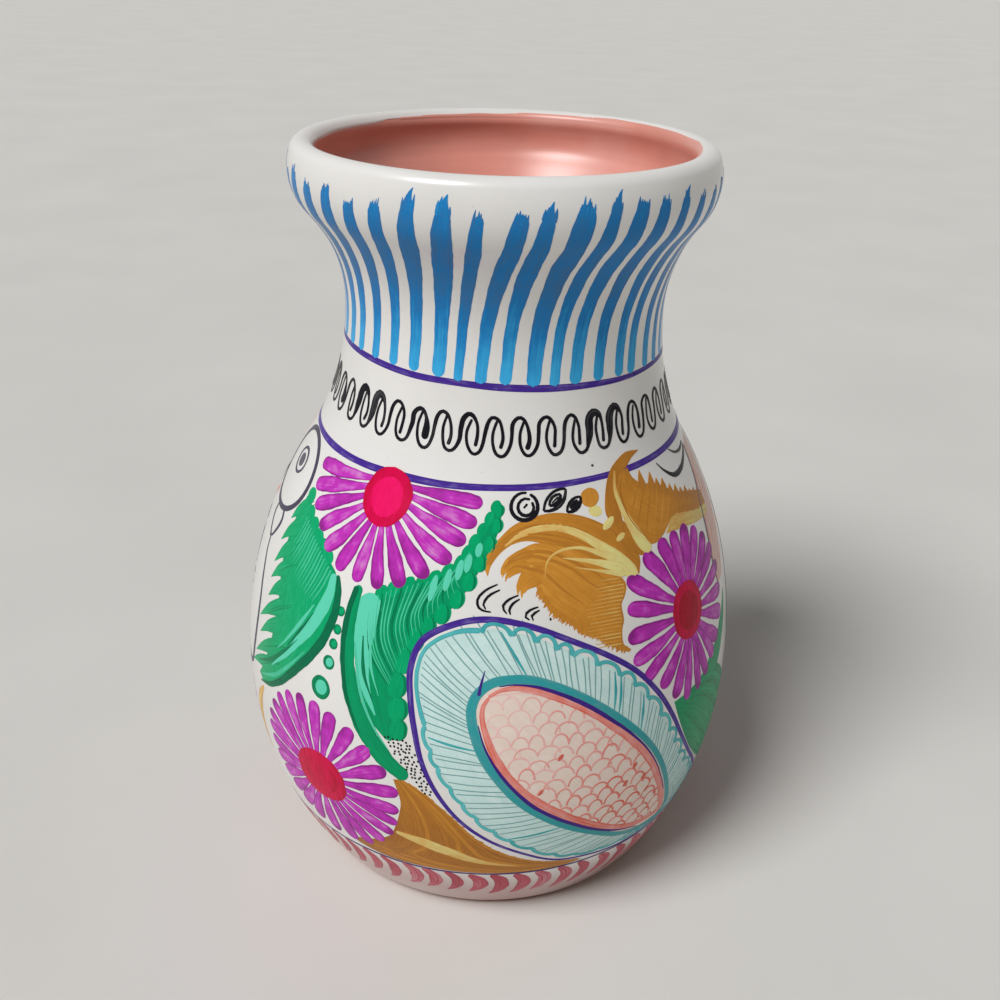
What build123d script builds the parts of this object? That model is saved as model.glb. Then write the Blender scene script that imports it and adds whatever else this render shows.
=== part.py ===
"""Mexican olla: a wide-mouthed, round-bellied earthenware jar.

Units are millimetres, +Z is up, and the origin is the centre of the base.
The clay is built up in rings that are luted edge to edge with slip.
A white slip covers the outside and the lip, and a terracotta wash covers the inside.
Every curve is an arc, and each arc leaves the one before it in the same direction.
"""

import os
from math import asin, atan2, cos, pi, radians, sin, sqrt

from build123d import *

# Finished outside, over the slip
height = 200.0          # floor to the top of the lip
belly_r = 69.4          # widest point of the belly
belly_z = 56.5          # height of the widest point
foot_r = 51.9           # where the belly curve meets the floor
neck_r = 40.8           # narrowest point of the neck
rim_r = 52.9            # widest point of the rim
neck_drop = 34.0        # widest point of the rim down to the narrowest point of the neck
rim_roll_r = 15.0       # outward curve of the rim
shoulder_r = 126.0      # outward curve of the shoulder

# Clay
wall_t = 5.4            # wall of every ring
base_t = 7.0            # floor slab
dish_edge_z = 24.0      # height of the moulded dish's edge
upper_ring_z = 91.0     # height of the joint between upper belly and shoulder
foot_edge_r = 2.5       # rounded edge under the belly
inner_corner_r = 12.0   # rounded corner inside, between floor and wall
lip_lean = radians(19)  # where the rounded lip takes over from the rim's curve

# Layers
slip_t = 0.4            # white slip
wash_t = 0.3            # terracotta wash
lute_t = 0.5            # slip in each joint
slip_foot_z = 3.0       # bare clay left under the white slip
slip_edge = radians(150)  # how far over the lip the white slip goes

# Depth of each surface under the finished outside
clay_out = slip_t
clay_in = clay_out + wall_t
wash_in = clay_in + wash_t

# Heights that follow from the lip
lip_r = wall_t / 2
rim_z = height - slip_t - lip_r - (rim_roll_r - slip_t - lip_r) * sin(lip_lean)
neck_z = rim_z - neck_drop


def tangent_radii_sum(step_out, step_up):
    """Sum of two radii that join two upright tangents by an S of two arcs."""
    return (step_out**2 + step_up**2) / (2 * step_out)


# Radii of the other three arcs of the outside
lower_r = tangent_radii_sum(belly_r - foot_r, belly_z)
swell_sum = tangent_radii_sum(belly_r - neck_r, neck_z - belly_z)
throat_r = swell_sum - shoulder_r
flare_r = tangent_radii_sum(rim_r - neck_r, rim_z - neck_z) - rim_roll_r

# Centres of the arcs, as (radius, height)
lower_c = (belly_r - lower_r, belly_z)
shoulder_c = (belly_r - shoulder_r, belly_z)
throat_c = (neck_r + throat_r, neck_z)
flare_c = (neck_r + flare_r, neck_z)
rim_c = (rim_r - rim_roll_r, rim_z)


def bearing(start, end):
    """Direction from one point to another."""
    return atan2(end[1] - start[1], end[0] - start[0])


def at(centre, radius, angle):
    """Point on a circle."""
    return (centre[0] + radius * cos(angle), centre[1] + radius * sin(angle))


def arc(centre, radius, first, last):
    """Arc of a circle from one direction to another."""
    return ThreePointArc(
        at(centre, radius, first), at(centre, radius, (first + last) / 2), at(centre, radius, last)
    )


# Directions, seen from the arc centres, of the points where the curve changes
throat_turn = bearing(shoulder_c, throat_c)
rim_turn = bearing(rim_c, flare_c)
dish_turn = asin((dish_edge_z - belly_z) / lower_r)
upper_ring_turn = asin((upper_ring_z - belly_z) / shoulder_r)
slip_start = asin((slip_foot_z - belly_z) / lower_r)
lip_c = at(rim_c, rim_roll_r - clay_out - lip_r, lip_lean)

# Joint slip, as an angle on the arc that it lies on
dish_lute_turn = dish_turn + lute_t / lower_r
belly_lute_turn = lute_t / shoulder_r
upper_lute_turn = upper_ring_turn + lute_t / shoulder_r
throat_lute_turn = throat_turn - lute_t / throat_r
neck_lute_turn = -lute_t / flare_r
rim_lute_turn = rim_turn + lute_t / rim_roll_r


def corner_centre(radius, surface_r, floor_z):
    """Centre of a corner that rounds the floor into the lower belly's curve."""
    rise = floor_z + radius
    reach = surface_r - radius
    return (lower_c[0] + sqrt(reach**2 - (belly_z - rise) ** 2), rise)


foot_edge_c = corner_centre(foot_edge_r, lower_r - clay_out, 0)
foot_edge_turn = bearing(lower_c, foot_edge_c)
inner_corner_c = corner_centre(inner_corner_r, lower_r - clay_in, base_t)
inner_corner_turn = bearing(lower_c, inner_corner_c)

def joint(centre, first_r, last_r, angle):
    """Joint straight through the wall."""
    return Line(at(centre, first_r, angle), at(centre, last_r, angle))


def ring_section(centre, outer_r, inner_r, first, last):
    """Section of a ring of wall: two arcs about one centre and a joint at each end."""
    arc(centre, outer_r, first, last)
    joint(centre, outer_r, inner_r, last)
    arc(centre, inner_r, last, first)
    joint(centre, inner_r, outer_r, first)


# Moulded dish: the floor and the start of the wall
with BuildPart() as base_dish:
    with BuildSketch(Plane.XZ):
        with BuildLine():
            Line((0, base_t), (0, 0))
            Line((0, 0), at(foot_edge_c, foot_edge_r, -pi / 2))
            arc(foot_edge_c, foot_edge_r, -pi / 2, foot_edge_turn)
            arc(lower_c, lower_r - clay_out, foot_edge_turn, dish_turn)
            joint(lower_c, lower_r - clay_out, lower_r - clay_in, dish_turn)
            arc(lower_c, lower_r - clay_in, dish_turn, inner_corner_turn)
            arc(inner_corner_c, inner_corner_r, inner_corner_turn, -pi / 2)
            Line(at(inner_corner_c, inner_corner_r, -pi / 2), (0, base_t))
        make_face()
    revolve(axis=Axis.Z)

# Slip between the dish and the first ring
with BuildPart() as dish_lute:
    with BuildSketch(Plane.XZ):
        with BuildLine():
            ring_section(lower_c, lower_r - clay_out, lower_r - clay_in, dish_turn, dish_lute_turn)
        make_face()
    revolve(axis=Axis.Z)

# First ring, up to the widest point
with BuildPart() as lower_belly:
    with BuildSketch(Plane.XZ):
        with BuildLine():
            ring_section(lower_c, lower_r - clay_out, lower_r - clay_in, dish_lute_turn, 0)
        make_face()
    revolve(axis=Axis.Z)

# Slip at the widest point
with BuildPart() as belly_lute:
    with BuildSketch(Plane.XZ):
        with BuildLine():
            ring_section(shoulder_c, shoulder_r - clay_out, shoulder_r - clay_in, 0, belly_lute_turn)
        make_face()
    revolve(axis=Axis.Z)

# Second ring, closing in over the belly
with BuildPart() as upper_belly:
    with BuildSketch(Plane.XZ):
        with BuildLine():
            ring_section(
                shoulder_c, shoulder_r - clay_out, shoulder_r - clay_in, belly_lute_turn, upper_ring_turn
            )
        make_face()
    revolve(axis=Axis.Z)

# Slip between the upper belly and the shoulder
with BuildPart() as upper_belly_lute:
    with BuildSketch(Plane.XZ):
        with BuildLine():
            ring_section(
                shoulder_c, shoulder_r - clay_out, shoulder_r - clay_in, upper_ring_turn, upper_lute_turn
            )
        make_face()
    revolve(axis=Axis.Z)

# Third ring, drawn in to the foot of the neck
with BuildPart() as shoulder:
    with BuildSketch(Plane.XZ):
        with BuildLine():
            ring_section(
                shoulder_c, shoulder_r - clay_out, shoulder_r - clay_in, upper_lute_turn, throat_turn
            )
        make_face()
    revolve(axis=Axis.Z)

# Slip where the shoulder turns up into the neck
with BuildPart() as shoulder_lute:
    with BuildSketch(Plane.XZ):
        with BuildLine():
            ring_section(
                throat_c, throat_r + clay_out, throat_r + clay_in, pi + throat_turn, pi + throat_lute_turn
            )
        make_face()
    revolve(axis=Axis.Z)

# Fourth ring, up to the narrowest point
with BuildPart() as neck:
    with BuildSketch(Plane.XZ):
        with BuildLine():
            ring_section(throat_c, throat_r + clay_out, throat_r + clay_in, pi + throat_lute_turn, pi)
        make_face()
    revolve(axis=Axis.Z)

# Slip at the narrowest point
with BuildPart() as neck_lute:
    with BuildSketch(Plane.XZ):
        with BuildLine():
            ring_section(flare_c, flare_r + clay_out, flare_r + clay_in, pi, pi + neck_lute_turn)
        make_face()
    revolve(axis=Axis.Z)

# Fifth ring, opening out to the rim
with BuildPart() as flare:
    with BuildSketch(Plane.XZ):
        with BuildLine():
            ring_section(
                flare_c, flare_r + clay_out, flare_r + clay_in, pi + neck_lute_turn, pi + rim_turn
            )
        make_face()
    revolve(axis=Axis.Z)

# Slip under the rim
with BuildPart() as rim_lute:
    with BuildSketch(Plane.XZ):
        with BuildLine():
            ring_section(rim_c, rim_roll_r - clay_out, rim_roll_r - clay_in, rim_turn, rim_lute_turn)
        make_face()
    revolve(axis=Axis.Z)

# Last ring: the rolled rim with its rounded lip
with BuildPart() as rim_roll:
    with BuildSketch(Plane.XZ):
        with BuildLine():
            arc(rim_c, rim_roll_r - clay_out, rim_lute_turn, lip_lean)
            arc(lip_c, lip_r, lip_lean, pi + lip_lean)
            arc(rim_c, rim_roll_r - clay_in, lip_lean, rim_lute_turn)
            joint(rim_c, rim_roll_r - clay_in, rim_roll_r - clay_out, rim_lute_turn)
        make_face()
    revolve(axis=Axis.Z)

# White slip: one coat from just above the floor, up the outside and over the lip
with BuildPart() as white_slip:
    with BuildSketch(Plane.XZ):
        with BuildLine():
            arc(lower_c, lower_r, slip_start, 0)
            arc(shoulder_c, shoulder_r, 0, throat_turn)
            arc(throat_c, throat_r, pi + throat_turn, pi)
            arc(flare_c, flare_r, pi, pi + rim_turn)
            arc(rim_c, rim_roll_r, rim_turn, lip_lean)
            arc(lip_c, lip_r + slip_t, lip_lean, slip_edge)
            joint(lip_c, lip_r + slip_t, lip_r, slip_edge)
            arc(lip_c, lip_r, slip_edge, lip_lean)
            arc(rim_c, rim_roll_r - clay_out, lip_lean, rim_turn)
            arc(flare_c, flare_r + clay_out, pi + rim_turn, pi)
            arc(throat_c, throat_r + clay_out, pi, pi + throat_turn)
            arc(shoulder_c, shoulder_r - clay_out, throat_turn, 0)
            arc(lower_c, lower_r - clay_out, 0, slip_start)
            joint(lower_c, lower_r - clay_out, lower_r, slip_start)
        make_face()
    revolve(axis=Axis.Z)

# Terracotta wash: one coat from the inside floor up to the white slip's edge
with BuildPart() as inner_wash:
    with BuildSketch(Plane.XZ):
        with BuildLine():
            Line((0, base_t + wash_t), (0, base_t))
            Line((0, base_t), at(inner_corner_c, inner_corner_r, -pi / 2))
            arc(inner_corner_c, inner_corner_r, -pi / 2, inner_corner_turn)
            arc(lower_c, lower_r - clay_in, inner_corner_turn, 0)
            arc(shoulder_c, shoulder_r - clay_in, 0, throat_turn)
            arc(throat_c, throat_r + clay_in, pi + throat_turn, pi)
            arc(flare_c, flare_r + clay_in, pi, pi + rim_turn)
            arc(rim_c, rim_roll_r - clay_in, rim_turn, lip_lean)
            arc(lip_c, lip_r, pi + lip_lean, slip_edge)
            joint(lip_c, lip_r, lip_r + wash_t, slip_edge)
            arc(lip_c, lip_r + wash_t, slip_edge, pi + lip_lean)
            arc(rim_c, rim_roll_r - wash_in, lip_lean, rim_turn)
            arc(flare_c, flare_r + wash_in, pi + rim_turn, pi)
            arc(throat_c, throat_r + wash_in, pi, pi + throat_turn)
            arc(shoulder_c, shoulder_r - wash_in, throat_turn, 0)
            arc(lower_c, lower_r - wash_in, 0, inner_corner_turn)
            arc(inner_corner_c, inner_corner_r - wash_t, inner_corner_turn, -pi / 2)
            Line(at(inner_corner_c, inner_corner_r - wash_t, -pi / 2), (0, base_t + wash_t))
        make_face()
    revolve(axis=Axis.Z)

base_dish.part.label = "base_dish"
dish_lute.part.label = "dish_lute"
lower_belly.part.label = "lower_belly"
belly_lute.part.label = "belly_lute"
upper_belly.part.label = "upper_belly"
upper_belly_lute.part.label = "upper_belly_lute"
shoulder.part.label = "shoulder"
shoulder_lute.part.label = "shoulder_lute"
neck.part.label = "neck"
neck_lute.part.label = "neck_lute"
flare.part.label = "flare"
rim_lute.part.label = "rim_lute"
rim_roll.part.label = "rim_roll"
white_slip.part.label = "white_slip"
inner_wash.part.label = "inner_wash"

os.makedirs("parts", exist_ok=True)
for piece in (
    base_dish,
    dish_lute,
    lower_belly,
    belly_lute,
    upper_belly,
    upper_belly_lute,
    shoulder,
    shoulder_lute,
    neck,
    neck_lute,
    flare,
    rim_lute,
    rim_roll,
    white_slip,
    inner_wash,
):
    export_step(piece.part, f"parts/{piece.part.label}.step")
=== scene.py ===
"""Painted olla: the looks of a hand-built earthenware jar, slipped white and painted with a brush.

On the jar, lengths are millimetres and angles are degrees, counted from the front towards the right.
A chart point is (angle, climb), and climb is the length up the outside curve from the floor.
"""

import math
import random

import bpy
import numpy as np
from mathutils import Matrix, Vector


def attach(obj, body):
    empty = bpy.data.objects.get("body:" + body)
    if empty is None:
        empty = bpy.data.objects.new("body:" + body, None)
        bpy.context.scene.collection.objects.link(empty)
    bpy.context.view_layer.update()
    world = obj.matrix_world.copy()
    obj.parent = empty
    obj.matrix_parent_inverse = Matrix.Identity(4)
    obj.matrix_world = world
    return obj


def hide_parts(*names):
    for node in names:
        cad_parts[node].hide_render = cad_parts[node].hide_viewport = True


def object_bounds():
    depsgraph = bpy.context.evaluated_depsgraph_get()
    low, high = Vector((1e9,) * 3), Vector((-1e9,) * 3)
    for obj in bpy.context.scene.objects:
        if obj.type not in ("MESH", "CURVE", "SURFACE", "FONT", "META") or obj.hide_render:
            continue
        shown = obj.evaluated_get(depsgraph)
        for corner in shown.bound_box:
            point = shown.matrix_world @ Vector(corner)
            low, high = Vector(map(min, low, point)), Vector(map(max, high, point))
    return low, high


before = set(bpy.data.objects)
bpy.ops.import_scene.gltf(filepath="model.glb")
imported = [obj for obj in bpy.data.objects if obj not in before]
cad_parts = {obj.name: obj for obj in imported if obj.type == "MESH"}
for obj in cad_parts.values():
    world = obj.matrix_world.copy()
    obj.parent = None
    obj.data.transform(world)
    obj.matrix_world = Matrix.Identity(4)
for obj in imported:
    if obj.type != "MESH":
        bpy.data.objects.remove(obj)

bl_info = {
    "name": "Painted Olla",
    "version": (1, 0, 0),
    "blender": (4, 5, 0),
    "location": "View3D > Sidebar > Olla",
    "description": "Builds a painted earthenware jar with its clay, coats, brushwork and studio stage",
    "category": "Object",
}

MM = 0.001
BODY = "root"
CAD_LOW, CAD_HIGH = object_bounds()
DEGREE = math.pi / 180
SHARP = 40.0
SAME_SPOT = 1e-4
CLAY_SEGMENTS = 96
SIDES = (0, 180)

# Height of each layer of paint over the slip, and of one film over another in a layer, in millimetres.
# A film's foot lies SINK under the surface, and the edges of its top are lower by the share CROWN.
WASH, COAT, DETAIL, PETAL, LINE, TOP = 0.03, 0.045, 0.075, 0.085, 0.095, 0.115
FILM = 0.004
SINK = 0.05
CROWN = 0.2


def linear(red, green, blue):
    """Screen colour from 0 to 255 as the linear colour that shaders use."""
    parts = (red / 255, green / 255, blue / 255)
    return tuple(p / 12.92 if p <= 0.04045 else ((p + 0.055) / 1.055) ** 2.4 for p in parts)


def length(name, description, millimetres):
    """A length that a user can change."""
    return bpy.props.FloatProperty(
        name=name, description=description, default=millimetres * MM, min=0, precision=5, subtype="DISTANCE"
    )


def angle(name, description, degrees):
    """An angle that a user can change."""
    return bpy.props.FloatProperty(
        name=name, description=description, default=degrees * DEGREE, subtype="ANGLE"
    )


def count(name, description, number):
    """A count that a user can change."""
    return bpy.props.IntProperty(name=name, description=description, default=number, min=1)


def colour(name, description, *screen):
    """A colour that a user can change, given as it looks on a screen."""
    return bpy.props.FloatVectorProperty(
        name=name, description=description, default=linear(*screen), min=0, max=1, size=3, subtype="COLOR"
    )


class OllaSizes(bpy.types.PropertyGroup):
    """Sizes of the jar, as in the solid model"""

    height: length("Height", "Floor to the top of the lip", CAD_HIGH.z / MM)
    belly_radius: length("Belly radius", "Widest point of the belly", CAD_HIGH.x / MM)
    belly_height: length("Belly height", "Height of the widest point", 56.5)
    foot_radius: length("Foot radius", "Where the belly curve meets the floor", 51.9)
    neck_radius: length("Neck radius", "Narrowest point of the neck", 40.8)
    rim_radius: length("Rim radius", "Widest point of the rim", 52.9)
    neck_drop: length("Neck drop", "Widest point of the rim down to the neck", 34.0)
    rim_roll: length("Rim roll", "Radius of the rim's outward curve", 15.0)
    shoulder_curve: length("Shoulder curve", "Radius of the shoulder's outward curve", 126.0)
    wall: length("Wall", "Thickness of the clay wall", 5.4)
    floor: length("Floor", "Thickness of the floor slab", 7.0)
    dish_edge: length("Dish edge", "Height of the moulded dish's edge", 24.0)
    upper_joint: length("Upper joint", "Height of the joint over the belly", 91.0)
    foot_edge: length("Foot edge", "Radius of the rounded edge under the belly", 2.5)
    inner_corner: length("Inner corner", "Radius inside, between floor and wall", 12.0)
    slip: length("White slip", "Thickness of the white slip", 0.4)
    wash: length("Inner wash", "Thickness of the terracotta wash", 0.3)
    lute: length("Joint slip", "Thickness of the slip in each joint", 0.5)
    bare_foot: length("Bare foot", "Height of the bare clay under the slip", 3.0)
    lip_lean: angle("Lip lean", "Where the rounded lip leaves the rim's curve", 19.0)
    slip_turn: angle("Slip turn", "How far over the lip the white slip goes", 150.0)
    sway: length("Sway", "Sideways wander of the hand-built axis", 1.1)
    unevenness: length("Unevenness", "Small hand-made swells of the wall", 0.16)
    rim_settle: length("Rim settle", "How far the rim sank and leaned while the clay was wet", 0.9)


class OllaBrushes(bpy.types.PropertyGroup):
    """Widths and counts of the brushwork"""

    ring_line: length("Ring line", "Width of the purple rings", 1.5)
    foot_line: length("Foot line", "Width of the line over the foot", 0.7)
    neck_stroke: length("Neck stroke", "Width of a blue stroke at its foot", 2.75)
    scroll_line: length("Scroll line", "Width of the black scroll", 0.78)
    petal: length("Petal", "Greatest width of a petal", 4.3)
    hatch_line: length("Hatch line", "Width of the fine hatching", 0.34)
    pen_line: length("Pen line", "Width of the small black marks", 0.55)
    neck_strokes: count("Neck strokes", "Blue strokes round the neck", 44)
    scrolls: count("Scrolls", "Scroll strokes round the collar", 44)
    foot_strokes: count("Foot strokes", "Rose strokes round the foot", 65)
    hatches: count("Hatches", "Hatch lines in each medallion", 112)
    scallops: count("Scallops", "Scallops round each medallion", 40)


class OllaColours(bpy.types.PropertyGroup):
    """Colours of the clay, the coats and the paints"""

    clay: colour("Clay", "Fired earthenware", 176, 108, 84)
    joint_slip: colour("Joint slip", "Fired slip in the joints", 160, 96, 76)
    white: colour("White slip", "White ground under the painting", 231, 229, 226)
    # The foot colour is the slip's pink stain, darkened further to paint the shade low on the jar.
    blush_and_shade: colour("Foot blush", "Pink stain of the white slip at the foot", 172, 126, 122)
    terracotta: colour("Terracotta", "Wash over the inside", 220, 143, 127)
    blue: colour("Blue", "Neck strokes", 32, 126, 194)
    purple: colour("Purple", "Rings and outlines", 72, 44, 146)
    black: colour("Black", "Scroll and pen marks", 22, 22, 30)
    magenta: colour("Magenta", "Petals", 197, 54, 188)
    red: colour("Red", "Flower discs", 222, 8, 80)
    green: colour("Green", "Leaves", 0, 168, 108)
    mint: colour("Mint", "Light strokes on the green leaves", 96, 212, 180)
    ochre: colour("Ochre", "Golden leaves", 200, 135, 50)
    straw: colour("Straw", "Light strokes on the golden leaves", 232, 222, 146)
    teal: colour("Teal", "Bands and hatching of the medallion", 50, 158, 164)
    aqua: colour("Aqua", "Thin wash of the medallion", 205, 233, 230)
    coral: colour("Coral", "Inner band and scales", 228, 110, 92)
    cream: colour("Cream", "Heart of the medallion", 238, 218, 206)
    slate: colour("Slate", "Outline of the bird", 72, 66, 88)
    rose: colour("Rose", "Foot strokes", 190, 74, 92)
    floor: colour("Stage floor", "Plain pale floor", 222, 220, 216)


def tangent_radii(step_out, step_up):
    """Sum of two radii that join two upright tangents by an S of two arcs."""
    return (step_out**2 + step_up**2) / (2 * step_out)


class Jar:
    """The finished outside of the jar: a chain of tangent arcs, turned about a slightly swaying axis."""

    ARC_SAMPLES = 160
    # Swells of the wall: waves round the jar, twist per millimetre of height, phase, share
    SWELLS = ((3, 0.035, 0, 1), (5, -0.06, 1.3, 0.6), (2, 0.11, 0.4, 0.5))
    FOOT_FADE, LIP_FADE, AXIS_FADE = 20, 12, 20
    SWAY_START, SWAY_REACH = 45, 125
    RIM_START, RIM_REACH, RIM_LEAN = 168.0, 24.0, 0.8

    def __init__(self, sizes):
        mm = {key: getattr(sizes, key) / MM for key in OllaSizes.__annotations__}
        self.mm = mm
        self.lip_lean = sizes.lip_lean
        self.slip, self.wash = mm["slip"], mm["wash"]
        self.wall_in = mm["slip"] + mm["wall"]
        belly_r, belly_z, roll = mm["belly_radius"], mm["belly_height"], mm["rim_roll"]
        self.lip_r = mm["wall"] / 2
        lip_reach = roll - self.slip - self.lip_r
        rim_z = mm["height"] - self.slip - self.lip_r - lip_reach * math.sin(self.lip_lean)
        neck_z = rim_z - mm["neck_drop"]
        self.lower_r = tangent_radii(belly_r - mm["foot_radius"], belly_z)
        throat_r = tangent_radii(belly_r - mm["neck_radius"], neck_z - belly_z) - mm["shoulder_curve"]
        flare_r = tangent_radii(mm["rim_radius"] - mm["neck_radius"], mm["neck_drop"]) - roll
        self.lower_c = (belly_r - self.lower_r, belly_z)
        shoulder_c = (belly_r - mm["shoulder_curve"], belly_z)
        throat_c = (mm["neck_radius"] + throat_r, neck_z)
        flare_c = (mm["neck_radius"] + flare_r, neck_z)
        rim_c = (mm["rim_radius"] - roll, rim_z)
        lip_c = (
            rim_c[0] + lip_reach * math.cos(self.lip_lean),
            rim_c[1] + lip_reach * math.sin(self.lip_lean),
        )
        throat_turn = math.atan2(throat_c[1] - shoulder_c[1], throat_c[0] - shoulder_c[0])
        rim_turn = math.atan2(flare_c[1] - rim_c[1], flare_c[0] - rim_c[0])
        self.foot_turn = -math.asin(belly_z / self.lower_r)
        arcs = (
            (self.lower_c, self.lower_r, self.foot_turn, 0.0),
            (shoulder_c, mm["shoulder_curve"], 0.0, throat_turn),
            (throat_c, throat_r, math.pi + throat_turn, math.pi),
            (flare_c, flare_r, math.pi, math.pi + rim_turn),
            (rim_c, roll, rim_turn, self.lip_lean),
            (lip_c, self.lip_r + self.slip, self.lip_lean, math.pi + self.lip_lean),
        )
        climbs, radii, heights, outs, ups = [], [], [], [], []
        self.breaks = [0.0]
        for centre, radius, first, last in arcs:
            turn = np.linspace(first, last, self.ARC_SAMPLES)
            side = 1.0 if last > first else -1.0
            climbs.append(self.breaks[-1] + radius * np.abs(turn - first))
            radii.append(centre[0] + radius * np.cos(turn))
            heights.append(centre[1] + radius * np.sin(turn))
            outs.append(side * np.cos(turn))
            ups.append(side * np.sin(turn))
            self.breaks.append(self.breaks[-1] + radius * abs(last - first))
        self.climbs = np.concatenate(climbs)
        self.table = [np.concatenate(rows) for rows in (radii, heights, outs, ups)]
        self.lip_start = self.breaks[-2]
        self.slip_end = self.lip_start + (sizes.slip_turn - self.lip_lean) * (self.lip_r + self.slip)

    def at(self, climb):
        """Radius, height and outward direction at a climb."""
        return [np.interp(climb, self.climbs, row) for row in self.table]

    def climb_at(self, height):
        """Climb of a height on the lower or upper belly."""
        below_lip = self.climbs < self.lip_start
        return float(np.interp(height, self.table[1][below_lip], self.climbs[below_lip]))

    def metre(self, climb):
        """Millimetres along the surface for one degree round the jar."""
        return self.at(climb)[0] * DEGREE

    def place(self, degrees, radius, height):
        """Point in space, in millimetres, with the sway and the small swells of the wall."""
        turn = np.asarray(degrees, float) * DEGREE
        swell = sum(
            share * np.sin(waves * turn + twist * height + phase)
            for waves, twist, phase, share in self.SWELLS
        )
        fade = np.clip(height / self.FOOT_FADE, 0, 1)
        fade = fade * np.clip((self.mm["height"] - height) / self.LIP_FADE, 0, 1)
        near_axis = np.clip(radius / self.AXIS_FADE, 0, 1)
        radius = radius + 0.5 * self.mm["unevenness"] * swell * fade * near_axis
        drift = -self.mm["sway"] * np.cos(math.pi * (height - self.SWAY_START) / self.SWAY_REACH)
        rim = np.clip((height - self.RIM_START) / self.RIM_REACH, 0, 1)
        settle = self.mm["rim_settle"] * rim * rim * (3 - 2 * rim)
        across = radius * np.sin(turn) + drift - self.RIM_LEAN * settle
        return np.stack([across, -radius * np.cos(turn), height - settle + 0 * across], axis=-1)

    def point(self, degrees, climb, lift):
        """Point in space at a chart point, lifted off the surface."""
        radius, height, out, up = self.at(climb)
        return self.place(degrees, radius + lift * out, height + lift * up)

    def outline(self, first, last, depth, step=1.6):
        """Section points (radius, height) from one climb to another, at a depth under the surface."""
        fine = step / 4
        knots = [first, last]
        if (first - self.lip_start) * (last - self.lip_start) < 0:
            knots = [first, self.lip_start, last]
        climbs = []
        for a, b in zip(knots, knots[1:]):
            spacing = fine if min(a, b) >= self.lip_start - 1e-6 else step
            climbs.extend(np.linspace(a, b, max(2, math.ceil(abs(b - a) / spacing) + 1)))
        radius, height, out, up = self.at(np.array(climbs))
        return list(zip(radius - depth * out, height - depth * up))

    def ring(self, first, last):
        """Section of the clay wall from one climb to another."""
        return self.outline(first, last, self.slip) + self.outline(last, first, self.wall_in)

    def corner(self, radius, depth, floor):
        """Arc that rounds a floor into the lower belly's curve: its centre and its last direction."""
        reach = self.lower_r - depth - radius
        rise = floor + radius
        centre = (self.lower_c[0] + math.sqrt(reach**2 - (self.lower_c[1] - rise) ** 2), rise)
        return centre, math.atan2(centre[1] - self.lower_c[1], centre[0] - self.lower_c[0])


def arc_points(centre, radius, first, last, steps=8):
    """Points on an arc of a section."""
    turns = np.linspace(first, last, steps + 1)
    return [(centre[0] + radius * math.cos(t), centre[1] + radius * math.sin(t)) for t in turns]


def add_object(name, data):
    """Adds an object to the scene."""
    made = bpy.data.objects.new(name, data)
    bpy.context.scene.collection.objects.link(made)
    return made


def add_piece(name, verts, faces, material, replaced=()):
    """Adds a mesh piece in millimetres to the scene, on the jar's body."""
    mesh = bpy.data.meshes.new(name)
    mesh.from_pydata((np.asarray(verts) * MM).tolist(), [], faces)
    mesh.materials.append(material)
    mesh.polygons.foreach_set("use_smooth", [True] * len(mesh.polygons))
    piece = add_object(name, mesh)
    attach(piece, BODY)
    if replaced:
        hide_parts(*replaced)
    return piece


def turned(jar, outline, segments):
    """Closed mesh of a section turned round the axis, outside first and going up."""
    clean = []
    for spot in outline:
        if not clean or math.dist(spot, clean[-1]) > SAME_SPOT:
            clean.append(spot)
    if math.dist(clean[0], clean[-1]) < SAME_SPOT:
        clean.pop()
    turns = np.arange(segments) * 360 / segments
    verts, rings = [], []
    for radius, height in clean:
        pole = radius < 1e-6
        ring = jar.place(turns[:1] if pole else turns, np.array(max(radius, 0.0)), np.array(height))
        rings.append([len(verts)] * segments if pole else list(range(len(verts), len(verts) + segments)))
        verts.extend(ring)
    faces = []
    for low, high in zip(rings, rings[1:] + rings[:1]):
        for k in range(segments):
            after = (k + 1) % segments
            corners = (low[k], low[after], high[after], high[k])
            face = list(dict.fromkeys(corners))
            if len(face) > 2:
                faces.append(face)
    return verts, faces


def add_turned(jar, node, outline, segments, material):
    """Adds a turned piece that stands for one node of the solid model."""
    verts, faces = turned(jar, outline, segments)
    piece = add_piece(f"turned_{node}", verts, faces, material, (node,))
    piece.data.set_sharp_from_angle(angle=SHARP * DEGREE)
    return piece


class Term:
    """A shader socket that takes part in Python arithmetic."""

    def __init__(self, look, socket):
        self.look = look
        self.socket = socket

    def math(self, operation, *values):
        """A Math node on this value and others."""
        return self.look.term("ShaderNodeMath", {"operation": operation}, dict(enumerate(values)))

    def __add__(self, other):
        return self.math("ADD", self, other)

    def __sub__(self, other):
        return self.math("SUBTRACT", self, other)

    def __mul__(self, other):
        return self.math("MULTIPLY", self, other)

    def __pow__(self, other):
        return self.math("POWER", self, other)

    def __rsub__(self, other):
        return self.math("SUBTRACT", other, self)

    __radd__ = __add__
    __rmul__ = __mul__

    def between(self, low, high):
        """Smooth step from 0 at low to 1 at high."""
        inputs = {0: self, 1: low, 2: high}
        return self.look.term("ShaderNodeMapRange", {"interpolation_type": "SMOOTHSTEP"}, inputs)

    def split(self):
        """The three parts of a vector."""
        made = self.look.node("ShaderNodeSeparateXYZ", {}, {0: self})
        return [Term(self.look, output) for output in made.outputs]


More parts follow.
